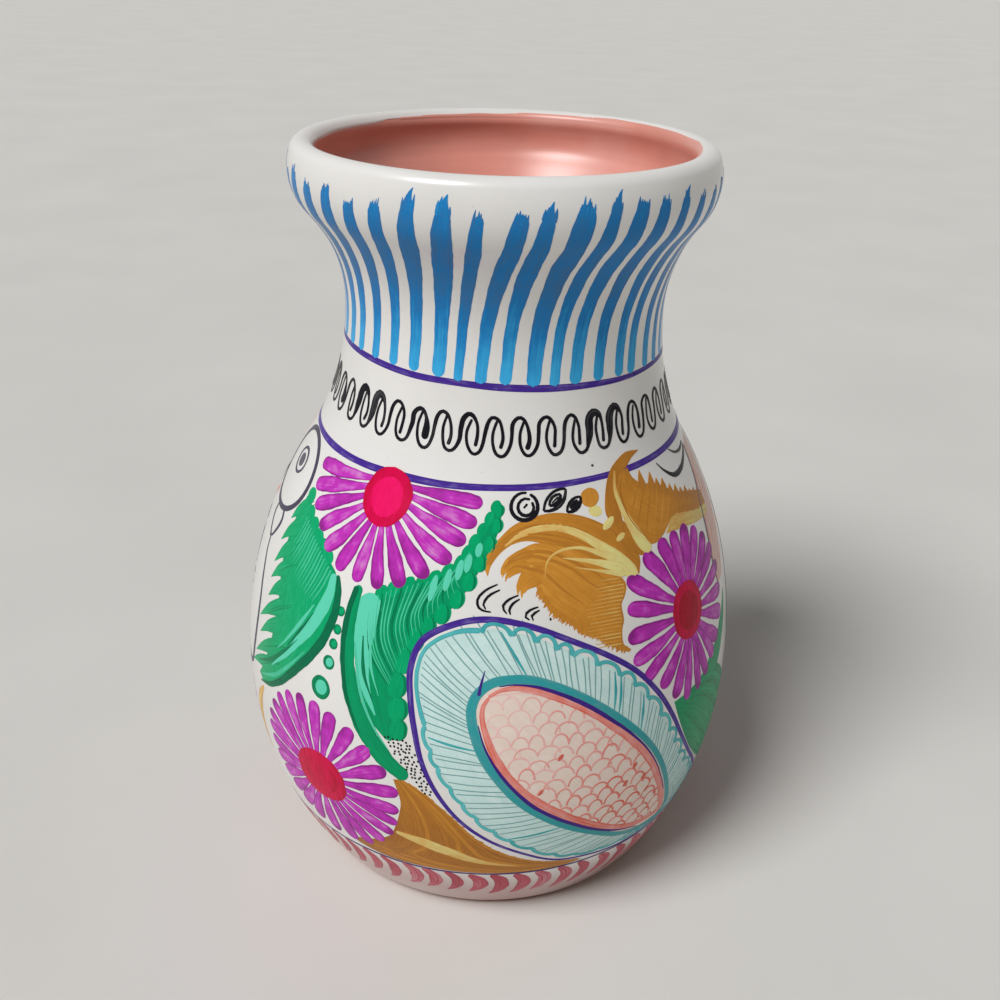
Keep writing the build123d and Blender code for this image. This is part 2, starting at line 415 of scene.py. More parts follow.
class Nodes:
    """A node tree, built from expressions on its sockets."""

    def __init__(self, tree):
        self.tree = tree

    def node(self, kind, settings, inputs):
        """Adds a node: its settings first, then the values or links of its sockets."""
        made = self.tree.nodes.new(kind)
        stops = settings.get("stops", ())
        for key, value in settings.items():
            if key != "stops":
                setattr(made, key, value)
        for _ in range(len(stops) - 2):
            made.color_ramp.elements.new(0.5)
        for number, (position, stop) in enumerate(stops):
            made.color_ramp.elements[number].position = position
            made.color_ramp.elements[number].color = (*stop, 1)
        for key, value in inputs.items():
            self.feed(made.inputs[key], value)
        return made

    def term(self, kind, settings, inputs, output=0):
        """The output of a new node, ready for arithmetic."""
        return Term(self, self.node(kind, settings, inputs).outputs[output])

    def feed(self, socket, value):
        """Links an expression to a socket, or sets the socket's value."""
        if isinstance(value, Term):
            self.tree.links.new(value.socket, socket)
        elif socket.type == "RGBA":
            socket.default_value = (*value, 1)
        else:
            socket.default_value = value


class Look(Nodes):
    """One material, with the noises and the bump that its finish needs."""

    def __init__(self, name, **constants):
        self.material = bpy.data.materials.new(name)
        self.material.use_nodes = True
        super().__init__(self.material.node_tree)
        self.shader = self.tree.nodes["Principled BSDF"]
        for socket, value in constants.items():
            label = socket.replace("_", " ").title().replace("Ior", "IOR")
            self.shader.inputs[label].default_value = value

    def vector(self, x, y, z):
        """A vector from three values."""
        return self.term("ShaderNodeCombineXYZ", {}, {0: x, 1: y, 2: z})

    def attribute(self, name):
        """The three parts of a vector kept on the mesh's points."""
        return self.term("ShaderNodeAttribute", {"attribute_name": name}, {}, "Vector").split()

    def position(self):
        """Place on the object, in millimetres."""
        spot = self.term("ShaderNodeTexCoord", {}, {}, "Object")
        return self.term("ShaderNodeVectorMath", {"operation": "SCALE"}, {0: spot, "Scale": 1 / MM})

    def noise(self, vector, scale=1.0, detail=2.0):
        """Soft noise about one half."""
        return self.term("ShaderNodeTexNoise", {}, {"Vector": vector, "Scale": scale, "Detail": detail})

    def ramp(self, value, *stops):
        """A colour chosen by a value."""
        return self.term("ShaderNodeValToRGB", {"stops": stops}, {0: value})

    def mix(self, factor, first, second):
        """Two colours mixed."""
        return self.term("ShaderNodeMix", {"data_type": "RGBA"}, {0: factor, 6: first, 7: second}, 2)

    def bump(self, height, strength, distance):
        """Small relief on the surface."""
        inputs = {"Height": height, "Strength": strength, "Distance": distance * MM}
        self.feed(self.shader.inputs["Normal"], self.term("ShaderNodeBump", {}, inputs))

    def surface(self, base, roughness):
        """Feeds the colour and the roughness."""
        self.feed(self.shader.inputs["Base Color"], base)
        self.feed(self.shader.inputs["Roughness"], roughness)
        return self.material


def shaded(base, amount):
    """A darker colour for an amount below 1, and a lighter one above it."""
    if amount <= 1:
        return tuple(part * amount for part in base)
    return tuple(part + (1 - part) * (amount - 1) for part in base)


def clay_look(name, base):
    """Matte fired earthenware with grog and soft clouds of colour."""
    look = Look(name, specular_ior_level=0.3)
    spot = look.position()
    clouds = look.noise(spot, scale=0.06, detail=3)
    grog = look.noise(spot, scale=1.7, detail=2)
    blend = (clouds - 0.5) * 0.8 + (grog - 0.5) * 0.7 + 0.5
    base = look.ramp(blend, (0.2, shaded(base, 0.72)), (0.5, base), (0.85, shaded(base, 1.25)))
    look.bump(grog, 0.35, 0.15)
    return look.surface(base, 0.72 + (grog - 0.5) * 0.3)


def slip_look(colours):
    """White slip under varnish: brushed on, faintly clouded, flecked, and pinker and darker towards the foot,
    partly a real pink stain and partly painted shade.
    """
    look = Look("white_slip_varnished", coat_weight=0.5, coat_roughness=0.07)
    spot = look.position()
    x, y, z = spot.split()
    clouds = look.noise(spot, scale=0.035, detail=3)
    strokes = look.noise(look.vector(x * 0.1, y * 0.1, z * 0.9), scale=1.0, detail=3)
    white = tuple(colours.white)
    tint = (clouds - 0.5) * 0.8 + (strokes - 0.5) * 0.12 + 0.5
    ground = look.ramp(tint, (0.15, shaded(white, 0.92)), (0.5, white), (0.85, shaded(white, 1.25)))
    # Pinker and darker towards the foot: the slip's real stain, and painted shade.
    blush_and_shade = 1 - z.between(10, 25)
    ground = look.mix(blush_and_shade * (0.55 + clouds * 0.6), ground, tuple(colours.blush_and_shade))
    flecks = look.noise(spot, scale=0.9, detail=1).between(0.79, 0.82)
    ground = look.mix(flecks * 0.4, ground, shaded(white, 0.5))
    look.bump(strokes * 0.3 + clouds * 0.7, 0.04, 0.2)
    return look.surface(ground, 0.3 + (strokes - 0.5) * 0.1 + flecks * 0.2)


def wash_look(colours):
    """Terracotta wash under varnish, brushed round the inside."""
    look = Look("terracotta_wash_varnished", coat_weight=0.5, coat_roughness=0.33)
    spot = look.position()
    x, y, z = spot.split()
    clouds = look.noise(spot, scale=0.04, detail=3)
    rings = look.noise(look.vector(x * 0.03, y * 0.03, z * 0.55), scale=1.0, detail=3)
    base = tuple(colours.terracotta)
    tint = (clouds - 0.5) * 0.8 + (rings - 0.5) * 0.25 + 0.5
    ground = look.ramp(tint, (0.1, shaded(base, 0.72)), (0.5, base), (0.9, shaded(base, 1.22)))
    look.bump(rings, 0.08, 0.3)
    return look.surface(ground, 0.36 + (clouds - 0.5) * 0.2)


def paint_look(
    name, base, dark=0.6, light=1.35, hair=0.5, pool=0.3, edge_dark=0.2, tip_dark=0.0, glow=None
):
    """Brushed paint: bristle streaks along the stroke, pooling, and a darker rim where it dried.

    dark and light are colours or amounts for shaded, and glow is a brighter colour just over the base.
    """
    look = Look(name, specular_ior_level=0.08, coat_weight=0.03, coat_roughness=0.1)
    along, across, seed = look.attribute("brush")
    travel, edge, tone = look.attribute("place")
    hairs = look.noise(look.vector(along * 0.08, across * 2.1, seed * 40), scale=1.0, detail=3)
    pools = look.noise(look.vector(along * 0.3, across * 0.45, seed * 23), scale=1.0, detail=2)
    shade = tone + (hairs - 0.5) * hair + (pools - 0.5) * pool - edge**6 * edge_dark
    if tip_dark:
        shade = shade - travel.between(0.8, 0.97) * seed.between(0.35, 0.9) * tip_dark
    base = tuple(base)
    dark = shaded(base, dark) if isinstance(dark, float) else tuple(dark)
    light = shaded(base, light) if isinstance(light, float) else tuple(light)
    middle = [(0.5, base), (0.64, glow)] if glow else [(0.5, base)]
    paint = look.ramp(shade, (0.1, dark), *middle, (0.9, light))
    look.bump(hairs, 0.25, 0.05)
    return look.surface(paint, 0.3 + (hairs - 0.5) * 0.25)


def through(points, steps, closed=False):
    """Smooth curve through chart points, read at steps counted in points."""
    knots = np.asarray(points, float)
    steps = np.asarray(steps, float)
    total = len(knots)
    if closed:
        steps = np.mod(steps, total)
        first = np.floor(steps).astype(int)
        picks = [knots[(first + k) % total] for k in (-1, 0, 1, 2)]
    else:
        knots = np.vstack((2 * knots[0] - knots[1], knots, 2 * knots[-1] - knots[-2]))
        first = np.clip(np.floor(steps).astype(int), 0, total - 2)
        picks = [knots[first + 1 + k] for k in (-1, 0, 1, 2)]
    t = (steps - first)[:, None]
    a, b, c, d = picks
    return b + 0.5 * t * (c - a + t * (2 * a - 5 * b + 4 * c - d + t * (3 * (b - c) + d - a)))


def spot_on(points, step, closed=False):
    """One point of the smooth curve."""
    return through(points, (step,), closed)[0]


def read_along(values, along, whole):
    """One value, or several spread evenly over a length, read along it."""
    values = np.atleast_1d(np.asarray(values, float))
    return np.interp(along, np.linspace(0, whole, len(values)), values)


class Brush:
    """Lays thin closed films of paint on the jar, and gathers them into one piece."""

    # Steps round a stroke's cap, in degrees, and how far ahead and behind its direction is read
    CAP_TURNS = (0, 24, 46, 68)
    LOOK_AHEAD = 0.3
    # Greatest width that takes 3 or 5 columns; wider strokes take 9
    THREE_COLUMNS, FIVE_COLUMNS = 1.2, 5
    # Shorter dabs take fewer steps, and loose hairs start this far back in their stroke
    SMALL_DAB, HAIR_ROOT = 6, 2.2

    def __init__(self, jar, seed):
        self.jar = jar
        self.rng = random.Random(seed)
        self.turn = 0.0
        self.verts, self.faces, self.marks, self.places = [], [], [], []
        self.total = 0

    def jitter(self, amount):
        """A small random change either way."""
        return self.rng.uniform(-amount, amount)

    def film(self, grid, lift, tone, along, across, closed=False):
        """One closed film: rows of chart points, crowned on top and sunk at its edges."""
        rows, columns = grid.shape[:2]
        share = np.linspace(-1, 1, columns)
        height = np.broadcast_to(lift * (1 - CROWN * share**2), (rows, columns))
        top = self.jar.point(grid[..., 0] + self.turn, grid[..., 1], height)
        rails = grid[:, (0, -1)]
        under = self.jar.point(rails[..., 0] + self.turn, rails[..., 1], -SINK)
        width = columns + 2
        loop = [*range(columns), columns + 1, columns]
        starts = self.total + np.arange(rows) * width
        spans = list(zip(starts, np.roll(starts, -1)))
        for low, high in spans if closed else spans[:-1]:
            for a, b in zip(loop, loop[1:] + loop[:1]):
                self.faces.append((low + a, low + b, high + b, high + a))
        if not closed:
            self.faces.append([starts[0] + a for a in reversed(loop)])
            self.faces.append([starts[-1] + a for a in loop])
        seed = self.rng.random()
        whole = max(along[-1], 1e-6)
        order = [*range(columns), 0, columns - 1]
        marks = np.empty((rows, width, 3))
        marks[..., 0] = along[:, None]
        marks[..., 1] = across[:, order]
        marks[..., 2] = seed
        places = np.empty((rows, width, 3))
        places[..., 0] = (along / whole)[:, None]
        places[..., 1] = np.abs(share)[order]
        places[..., 2] = np.reshape(tone, (-1, 1))
        self.verts.append(np.concatenate((top, under), axis=1).reshape(-1, 3))
        self.marks.append(marks.reshape(-1, 3))
        self.places.append(places.reshape(-1, 3))
        self.total += rows * width

    def measure(self, line):
        """Real length from the start of a chart line to each of its points."""
        middle = (line[1:, 1] + line[:-1, 1]) / 2
        run = np.diff(line[:, 0]) * self.jar.metre(middle)
        return np.concatenate(([0.0], np.cumsum(np.hypot(run, np.diff(line[:, 1])))))

    def shift(self, spot, right, up):
        """A chart point moved by millimetres along the surface."""
        return (spot[0] + right / self.jar.metre(spot[1]), spot[1] + up)

    def heading(self, first, second, climb):
        """Unit direction along the surface from one chart point to another, near a climb."""
        run = (second[0] - first[0]) * self.jar.metre(climb)
        rise = second[1] - first[1]
        size = math.hypot(run, rise)
        return run / size, rise / size

    def stroke(self, points, width, lift, tone=0.5, closed=False, shake=0.05, step=1.0):
        """One stroke along a smooth line; width and tone are one value, or several spread along it."""
        ends = len(points) if closed else len(points) - 1
        dense = through(points, np.linspace(0, ends, 10 * ends + 1), closed)
        measure = self.measure(dense)
        whole = measure[-1]
        widths = np.atleast_1d(np.asarray(width, float))

        def follow(lengths):
            """Chart points of the line at lengths along it."""
            return np.stack([np.interp(lengths, measure, dense[:, k]) for k in (0, 1)], axis=1)

        if closed:
            along = np.linspace(0, whole, max(8, round(whole / step)) + 1)[:-1]
            rounding = 1.0
        else:
            caps = [min(w / 2, 0.45 * whole) for w in (widths[0], widths[-1])]
            bow = 1 - np.cos(np.array(self.CAP_TURNS) * DEGREE)
            steps = max(1, round((whole - sum(caps)) / step))
            middle = np.linspace(caps[0], whole - caps[1], steps + 1)
            along = np.concatenate((caps[0] * bow, middle, whole - caps[1] * bow[::-1]))
            near = np.minimum(along / max(caps[0], 1e-6), (whole - along) / max(caps[1], 1e-6))
            rounding = np.sqrt(np.clip(1 - (1 - np.clip(near, 0, 1)) ** 2, 0.006, 1))
        centre = follow(along)
        half = read_along(widths, along, whole) / 2 * rounding
        metre = self.jar.metre(centre[:, 1])
        ahead, behind = follow(along + self.LOOK_AHEAD), follow(along - self.LOOK_AHEAD)
        if closed:
            ahead, behind = np.roll(centre, -1, 0), np.roll(centre, 1, 0)
            lap = 360 * np.round((dense[-1, 0] - dense[0, 0]) / 360)
            ahead[-1, 0] += lap
            behind[0, 0] -= lap
        run = (ahead[:, 0] - behind[:, 0]) * metre
        rise = ahead[:, 1] - behind[:, 1]
        size = np.maximum(np.hypot(run, rise), 1e-9)
        broad = float(widths.max())
        columns = 3 if broad < self.THREE_COLUMNS else 5 if broad < self.FIVE_COLUMNS else 9
        share = np.linspace(-1, 1, columns)
        wave = self.jitter(3.0) + along[:, None] * self.rng.uniform(0.5, 0.9)
        edge = 1 + shake * np.sin(wave + 2.2 * share) + 0.6 * shake * np.sin(2.7 * wave - share)
        across = half[:, None] * share * (1.0 if closed else edge)
        grid = np.empty((len(along), columns, 2))
        grid[..., 0] = centre[:, :1] + across * (rise / size / metre)[:, None]
        grid[..., 1] = centre[:, 1:] - across * (run / size)[:, None]
        self.film(grid, lift, read_along(tone, along, whole), along, across, closed)

    def fill(self, first, second, lift, tone=0.5, columns=7, rows=None, closed=False):
        """A film stretched between two smooth lines that run the same way."""
        ends = [len(side) if closed else len(side) - 1 for side in (first, second)]
        rows = rows or 3 * max(ends) + 1
        sides = []
        for side, end in zip((first, second), ends):
            steps = np.linspace(0, end, rows + 1)[:-1] if closed else np.linspace(0, end, rows)
            sides.append(through(side, steps, closed))
        reach, travel = sides[1] - sides[0], np.gradient(sides[0] + sides[1], axis=0)
        if np.sum(reach[:, 0] * travel[:, 1] - reach[:, 1] * travel[:, 0]) < 0:
            sides.reverse()
        share = np.linspace(0, 1, columns)[None, :, None]
        grid = sides[0][:, None] * (1 - share) + sides[1][:, None] * share
        middle = grid[:, columns // 2]
        along = self.measure(middle)
        reach = sides[1] - sides[0]
        gap = np.hypot(reach[:, 0] * self.jar.metre(middle[:, 1]), reach[:, 1])
        across = gap[:, None] * (share[0, :, 0] - 0.5)
        tones = read_along(tone, np.linspace(0, 1, rows), 1)
        self.film(grid, lift, tones, along, across, closed)

    def dab(self, spot, long, wide, lift, tone=0.5, tilt=90.0):
        """An oval touch of the brush; tilt is the direction of its length."""
        reach = (long / 2 * math.cos(tilt * DEGREE), long / 2 * math.sin(tilt * DEGREE))
        ends = [self.shift(spot, side * reach[0], side * reach[1]) for side in (-1, 1)]
        steps = 13 if long < self.SMALL_DAB else 31
        oval = wide * np.sqrt(1 - np.linspace(-0.995, 0.995, steps) ** 2)
        self.stroke(ends, oval, lift, tone, shake=0.02, step=long / (steps - 1))

    def fray(self, points, width, lift, tone, hairs, reach):
        """Loose bristle marks that run on past the end of a stroke."""
        before, last = points[-2:]
        run, rise = self.heading(before, last, last[1])
        for share in np.linspace(-0.78, 0.78, hairs):
            off = share * width / 2
            root = self.shift(last, off * rise - self.HAIR_ROOT * run, -off * run - self.HAIR_ROOT * rise)
            middle = self.shift(last, off * rise, -off * run)
            far = self.rng.uniform(0.2, 1) ** 2 * reach
            tip = self.shift(middle, far * run + self.jitter(0.15), far * rise)
            hair = self.rng.uniform(1.1, 1.7) * width / hairs
            self.stroke((root, middle, tip), (hair, hair, 0.8 * hair, 0.12), lift, tone + self.jitter(0.1))

    def lay(self, name, material):
        """Makes the piece from all the films."""
        piece = add_piece(name, np.concatenate(self.verts), self.faces, material)
        for key, rows in (("brush", self.marks), ("place", self.places)):
            layer = piece.data.attributes.new(key, "FLOAT_VECTOR", "POINT")
            layer.data.foreach_set("vector", np.concatenate(rows).ravel())
        piece.data.set_sharp_from_angle(angle=SHARP * DEGREE)
        return piece


def on_oval(centre, wide, tall, degrees):
    """The chart point of an oval at an angle."""
    turn = degrees * DEGREE
    return (centre[0] + wide * math.cos(turn), centre[1] + tall * math.sin(turn))


def oval(centre, wide, tall, first=0.0, last=360.0, points=12, grow=1.0):
    """Chart points on an oval, or on a stretch of one that can grow as it goes."""
    turns = np.linspace(first, last, points + 1)
    if last - first == 360.0 and grow == 1.0:
        turns = turns[:-1]
    sizes = np.linspace(1, grow, len(turns))
    return [on_oval(centre, wide * size, tall * size, turn) for turn, size in zip(turns, sizes)]


def toward(first, second, share):
    """The chart point at a share of the way from one to another."""
    return tuple(a + (b - a) * share for a, b in zip(first, second))


def between(first, second, share):
    """The chart line at a share of the way from one line to another."""
    return [toward(a, b, share) for a, b in zip(first, second)]


def inside(edge, spot):
    """Whether a chart point lies inside a closed line."""
    after = np.roll(edge, -1, axis=0)
    crosses = (edge[:, 1] > spot[1]) != (after[:, 1] > spot[1])
    rise = np.where(crosses, after[:, 1] - edge[:, 1], 1.0)
    at = edge[:, 0] + (spot[1] - edge[:, 1]) / rise * (after[:, 0] - edge[:, 0])
    return bool(np.count_nonzero(crosses & (spot[0] < at)) % 2)


class OllaOperator:
    """What the jar's operators share."""

    bl_options = {"REGISTER", "UNDO"}

    def execute(self, context):
        """Builds the pieces, and lets an error stop the script."""
        scene = context.scene
        self.jar = Jar(scene.olla_sizes)
        self.sizes = scene.olla_sizes
        self.brushes = scene.olla_brushes
        self.colours = scene.olla_colours
        self.build()
        return {"FINISHED"}


class OLLA_OT_clay_rings(OllaOperator, bpy.types.Operator):
    """Turn the moulded dish and the rings of clay"""

    bl_idname = "olla.clay_rings"
    bl_label = "Clay rings"

    def build(self):
        """The dish, five plain rings and the rim with its lip."""
        jar = self.jar
        material = clay_look("fired_clay", tuple(self.colours.clay))
        lute = jar.mm["lute"]
        dish_end = jar.climb_at(jar.mm["dish_edge"])
        belly, throat, neck, rim = jar.breaks[1:5]
        upper = jar.climb_at(jar.mm["upper_joint"])
        foot_c, foot_turn = jar.corner(jar.mm["foot_edge"], jar.slip, 0.0)
        corner_c, corner_turn = jar.corner(jar.mm["inner_corner"], jar.wall_in, jar.mm["floor"])
        foot_climb = (foot_turn - jar.foot_turn) * jar.lower_r
        corner_climb = (corner_turn - jar.foot_turn) * jar.lower_r
        dish = [(0.0, jar.mm["floor"]), (0.0, 0.0)]
        dish += arc_points(foot_c, jar.mm["foot_edge"], -math.pi / 2, foot_turn)
        dish += jar.outline(foot_climb, dish_end, jar.slip)
        dish += jar.outline(dish_end, corner_climb, jar.wall_in)
        dish += arc_points(corner_c, jar.mm["inner_corner"], corner_turn, -math.pi / 2)
        add_turned(jar, "base_dish", dish, CLAY_SEGMENTS, material)
        spans = (
            ("lower_belly", dish_end + lute, belly),
            ("upper_belly", belly + lute, upper),
            ("shoulder", upper + lute, throat),
            ("neck", throat + lute, neck),
            ("flare", neck + lute, rim),
        )
        for node, first, last in spans:
            add_turned(jar, node, jar.ring(first, last), CLAY_SEGMENTS, material)
        roll = jar.outline(rim + lute, jar.breaks[-1], jar.slip)
        roll += jar.outline(jar.lip_start, rim + lute, jar.wall_in)
        add_turned(jar, "rim_roll", roll, CLAY_SEGMENTS, material)


class OLLA_OT_joint_slip(OllaOperator, bpy.types.Operator):
    """Fill the joints between the rings with slip"""

    bl_idname = "olla.joint_slip"
    bl_label = "Joint slip"

    def build(self):
        """A thin ring of slip over each joint's start."""
        jar = self.jar
        material = clay_look("fired_joint_slip", tuple(self.colours.joint_slip))
        starts = (
            ("dish_lute", jar.climb_at(jar.mm["dish_edge"])),
            ("belly_lute", jar.breaks[1]),
            ("upper_belly_lute", jar.climb_at(jar.mm["upper_joint"])),
            ("shoulder_lute", jar.breaks[2]),
            ("neck_lute", jar.breaks[3]),
            ("rim_lute", jar.breaks[4]),
        )
        for node, first in starts:
            ring = jar.ring(first, first + jar.mm["lute"])
            add_turned(jar, node, ring, CLAY_SEGMENTS, material)


class OLLA_OT_coats(OllaOperator, bpy.types.Operator):
    """Coat the outside with white slip and the inside with terracotta wash"""

    bl_idname = "olla.coats"
    bl_label = "Coats"

    OUTSIDE_SEGMENTS = 256
    INSIDE_SEGMENTS = 192
    HIDDEN_STEP = 5.0
    # Angles over which each coat laps over the other
    SLIP_LAP, WASH_LAP, LAP_STEP = (210, 352), (-14, 218), 1.5
    # How much further in the coats meet at the front, and how much less all round and on the right
    MEETING_FRONT, MEETING, MEETING_RIGHT = 0.5, 0.4, 1.4
    # Waves of the edge: how many round the lip, and their size
    LIP_WAVES = ((5, 0.16), (9, 0.15), (14, 0.12), (23, 0.08))
    LIP_OVERLAP = 0.5
    LIP_LIFTS = np.array((-0.09, 0.02, 0.03, 0.02, -0.02))

    def build(self):
        """Both coats meet in a line on top of the lip."""
        jar = self.jar
        foot = jar.climb_at(jar.mm["bare_foot"])
        coat = jar.outline(foot, jar.slip_end, 0.0)
        coat += jar.outline(jar.slip_end, foot, jar.slip, self.HIDDEN_STEP)
        white = slip_look(self.colours)
        add_turned(jar, "white_slip", coat, self.OUTSIDE_SEGMENTS, white)
        floor, corner_r = jar.mm["floor"], jar.mm["inner_corner"]
        centre, turn = jar.corner(corner_r, jar.wall_in, floor)
        corner_climb = (turn - jar.foot_turn) * jar.lower_r
        coat = [(0.0, floor + jar.wash), (0.0, floor)]
        coat += arc_points(centre, corner_r, -math.pi / 2, turn)
        coat += jar.outline(corner_climb, jar.lip_start, jar.wall_in, self.HIDDEN_STEP)
        coat += jar.outline(jar.breaks[-1], jar.slip_end, jar.slip)
        coat += jar.outline(jar.slip_end, jar.breaks[-1], jar.slip - jar.wash)
        coat += jar.outline(jar.lip_start, corner_climb, jar.wall_in + jar.wash)
        coat += arc_points(centre, corner_r - jar.wash, turn, -math.pi / 2, 14)
        wash = wash_look(self.colours)
        add_turned(jar, "inner_wash", coat, self.INSIDE_SEGMENTS, wash)
        self.lip_edge("lip_slip_edge", *self.SLIP_LAP, 1, white)
        self.lip_edge("lip_wash_edge", *self.WASH_LAP, -1, wash)

    def lip_edge(self, name, first, last, side, material):
        """A wavering brushed edge: slip over wash on one side of the lip, and wash over slip on the other."""
        brush = Brush(self.jar, 11)
        turns = np.arange(first, last + 1, self.LAP_STEP)
        spin = turns * DEGREE
        wave = sum(np.sin(lobes * spin + lobes) * size for lobes, size in self.LIP_WAVES)
        meeting = self.MEETING_FRONT * np.cos(spin) - self.MEETING - self.MEETING_RIGHT * np.sin(spin)
        meeting += wave
        reach = np.maximum(side * meeting, 0.05)
        share = np.linspace(1, 0, len(self.LIP_LIFTS))
        across = reach[:, None] * share - self.LIP_OVERLAP * (1 - share)
        grid = np.empty((*across.shape, 2))
        grid[..., 0] = turns[:, None]
        grid[..., 1] = self.jar.slip_end + side * across
        lifts = self.LIP_LIFTS
        if side < 0:
            grid, across, lifts = grid[:, ::-1], across[:, ::-1], lifts + 0.01
        brush.film(grid, lifts, 0.5, turns, across)
        brush.lay(name, material)


class OLLA_OT_ring_lines(OllaOperator, bpy.types.Operator):
    """Paint the purple rings at the neck and shoulder, and the line over the foot"""

    bl_idname = "olla.ring_lines"
    bl_label = "Ring lines"

    def build(self):
        """Each ring dips and swells a little, as a line does on a hand-turned wheel."""
        # Name, climb, tilt, width, colour
        rings = (
            ("neck_ring", 158.7, -1.2, self.brushes.ring_line / MM, self.colours.purple),
            ("shoulder_ring", 135.3, 0.6, 1.15 * self.brushes.ring_line / MM, self.colours.purple),
            ("foot_ring", 24.7, 0.2, self.brushes.foot_line / MM, shaded(self.colours.purple, 0.5)),
        )
        for number, (name, climb, tilt, width, paint) in enumerate(rings):
            brush = Brush(self.jar, 10 + number)
            turns = np.arange(0, 361, 15)
            wander = [brush.jitter(0.16) for _ in turns[:-1]]
            wander.append(wander[0])
            swell = [width * (1 + brush.jitter(0.16)) for _ in turns[:-1]]
            swell.append(swell[0])
            line = [(t, climb + tilt * math.sin(t * DEGREE) + w) for t, w in zip(turns, wander)]
            line[-1] = (360.0, line[0][1])
            self.ring(brush, line, swell)
            brush.lay(name, paint_look(f"{name}_paint", paint, hair=0.4))

    @staticmethod
    def ring(brush, line, widths, steps=240, columns=5):
        """A closed band round the jar."""
        spins = np.linspace(0, len(line) - 1, steps + 1)[:-1]
        centre = through(line, spins)
        half = np.interp(spins, np.arange(len(line)), widths) / 2
        share = np.linspace(-1, 1, columns)
        across = half[:, None] * share
        grid = np.empty((steps, columns, 2))
        grid[..., 0] = centre[:, :1]
        grid[..., 1] = centre[:, 1:] - across
        brush.film(grid, WASH + 5 * FILM, 0.5, brush.measure(centre), across, closed=True)


class OLLA_OT_neck_strokes(OllaOperator, bpy.types.Operator):
    """Paint the slanting blue strokes up the neck"""

    bl_idname = "olla.neck_strokes"
    bl_label = "Neck strokes"

    FOOT, HEAD, HEAD_DROP = 159.2, 206.0, 0.8
    # Degrees by which a head leads its foot, and share of the strokes that end like a flame
    LEAD, FLAMES = 8.7, 0.45
    RISE = (0, 0.3, 0.53, 0.76, 1)
    LEAN = (0, 0.15, 0.42, 0.75, 1)
    SWELL = (1, 1, 1.04, 1.12, 1.24, 1.38, 1.5, 1.54, 1.46, 1.1)
    # Angle at the foot, angle and climb at the head, weight
    FRONT = (
        (-57.5, -47.6, 206, 1), (-48.3, -39.4, 204.3, 1), (-39.3, -31.2, 204.8, 0.95),
        (-30.7, -22.2, 206.8, 1.05), (-21.5, -13.5, 206.4, 1.15), (-14.7, -5.7, 204.4, 0.8),
        (-7.3, 4.2, 205.4, 1), (0.8, 10.5, 206, 1), (9.8, 19.3, 206.9, 1.25), (16.8, 26.8, 207.2, 0.9),
        (24.2, 34.1, 207, 1.1), (32.8, 41.3, 206.4, 1.05), (41.8, 49, 206, 1), (48, 57, 205.2, 1),
        (56.8, 65.4, 204.8, 1),
    )

    def build(self):
        """The front strokes keep their own spacing, and the others go on round the neck."""
        brush = Brush(self.jar, 21)
        strokes = list(self.FRONT)
        spare = self.brushes.neck_strokes - len(strokes)
        gap = (360 - (strokes[-1][0] - strokes[0][0])) / (spare + 1)
        for k in range(spare):
            foot = strokes[len(self.FRONT) - 1][0] + gap * (k + 1) + brush.jitter(0.7)
            head = foot + self.LEAD + brush.jitter(0.8)
            strokes.append((foot, head, self.HEAD + brush.jitter(1.2), 1 + brush.jitter(0.15)))
        for foot, head, high, weight in strokes:
            self.stroke(brush, foot, head, high - self.HEAD_DROP, weight * self.brushes.neck_stroke / MM)
        # The dark end is a greyed blue: painted shade and sheen for the upper throat.
        look = paint_look(
            "neck_blue_paint", self.colours.blue, dark=linear(80, 113, 150), light=linear(64, 178, 232),
            hair=0.45, edge_dark=0.12,
        )
        brush.lay("neck_strokes", look)

    def stroke(self, brush, foot, head, high, width):
        """One stroke: a round foot, a slow curve, and a head like a flame or a comb."""
        low = self.FOOT - 1.2 * math.sin(foot * DEGREE) + brush.jitter(0.4)
        line = [
            (foot + (head - foot) * lean, low + (high - low) * rise)
            for rise, lean in zip(self.RISE, self.LEAN)
        ]
        swell = self.SWELL
        top = line[-2:]
        if brush.rng.random() < self.FLAMES:
            line.append(brush.shift(line[-1], brush.rng.uniform(0.3, 1.5), brush.rng.uniform(1.6, 3)))
            swell += (0.06,)
        widths = [width * share * (1 + brush.jitter(0.05)) for share in swell]
        deep = brush.jitter(0.06)
        # Light at the foot, where the paint is thick and opaque, and darkest in the middle of the throat:
        # painted shade under the overhanging rim.
        tones = (0.86 + deep, 0.56 + deep, 0.37 + deep, 0.4, 0.5)
        brush.stroke(line, widths, COAT, tones, shake=0.03)
        brush.fray(top, width * self.SWELL[-1], COAT, 0.48, brush.rng.choice((5, 6, 7)), 2.0)


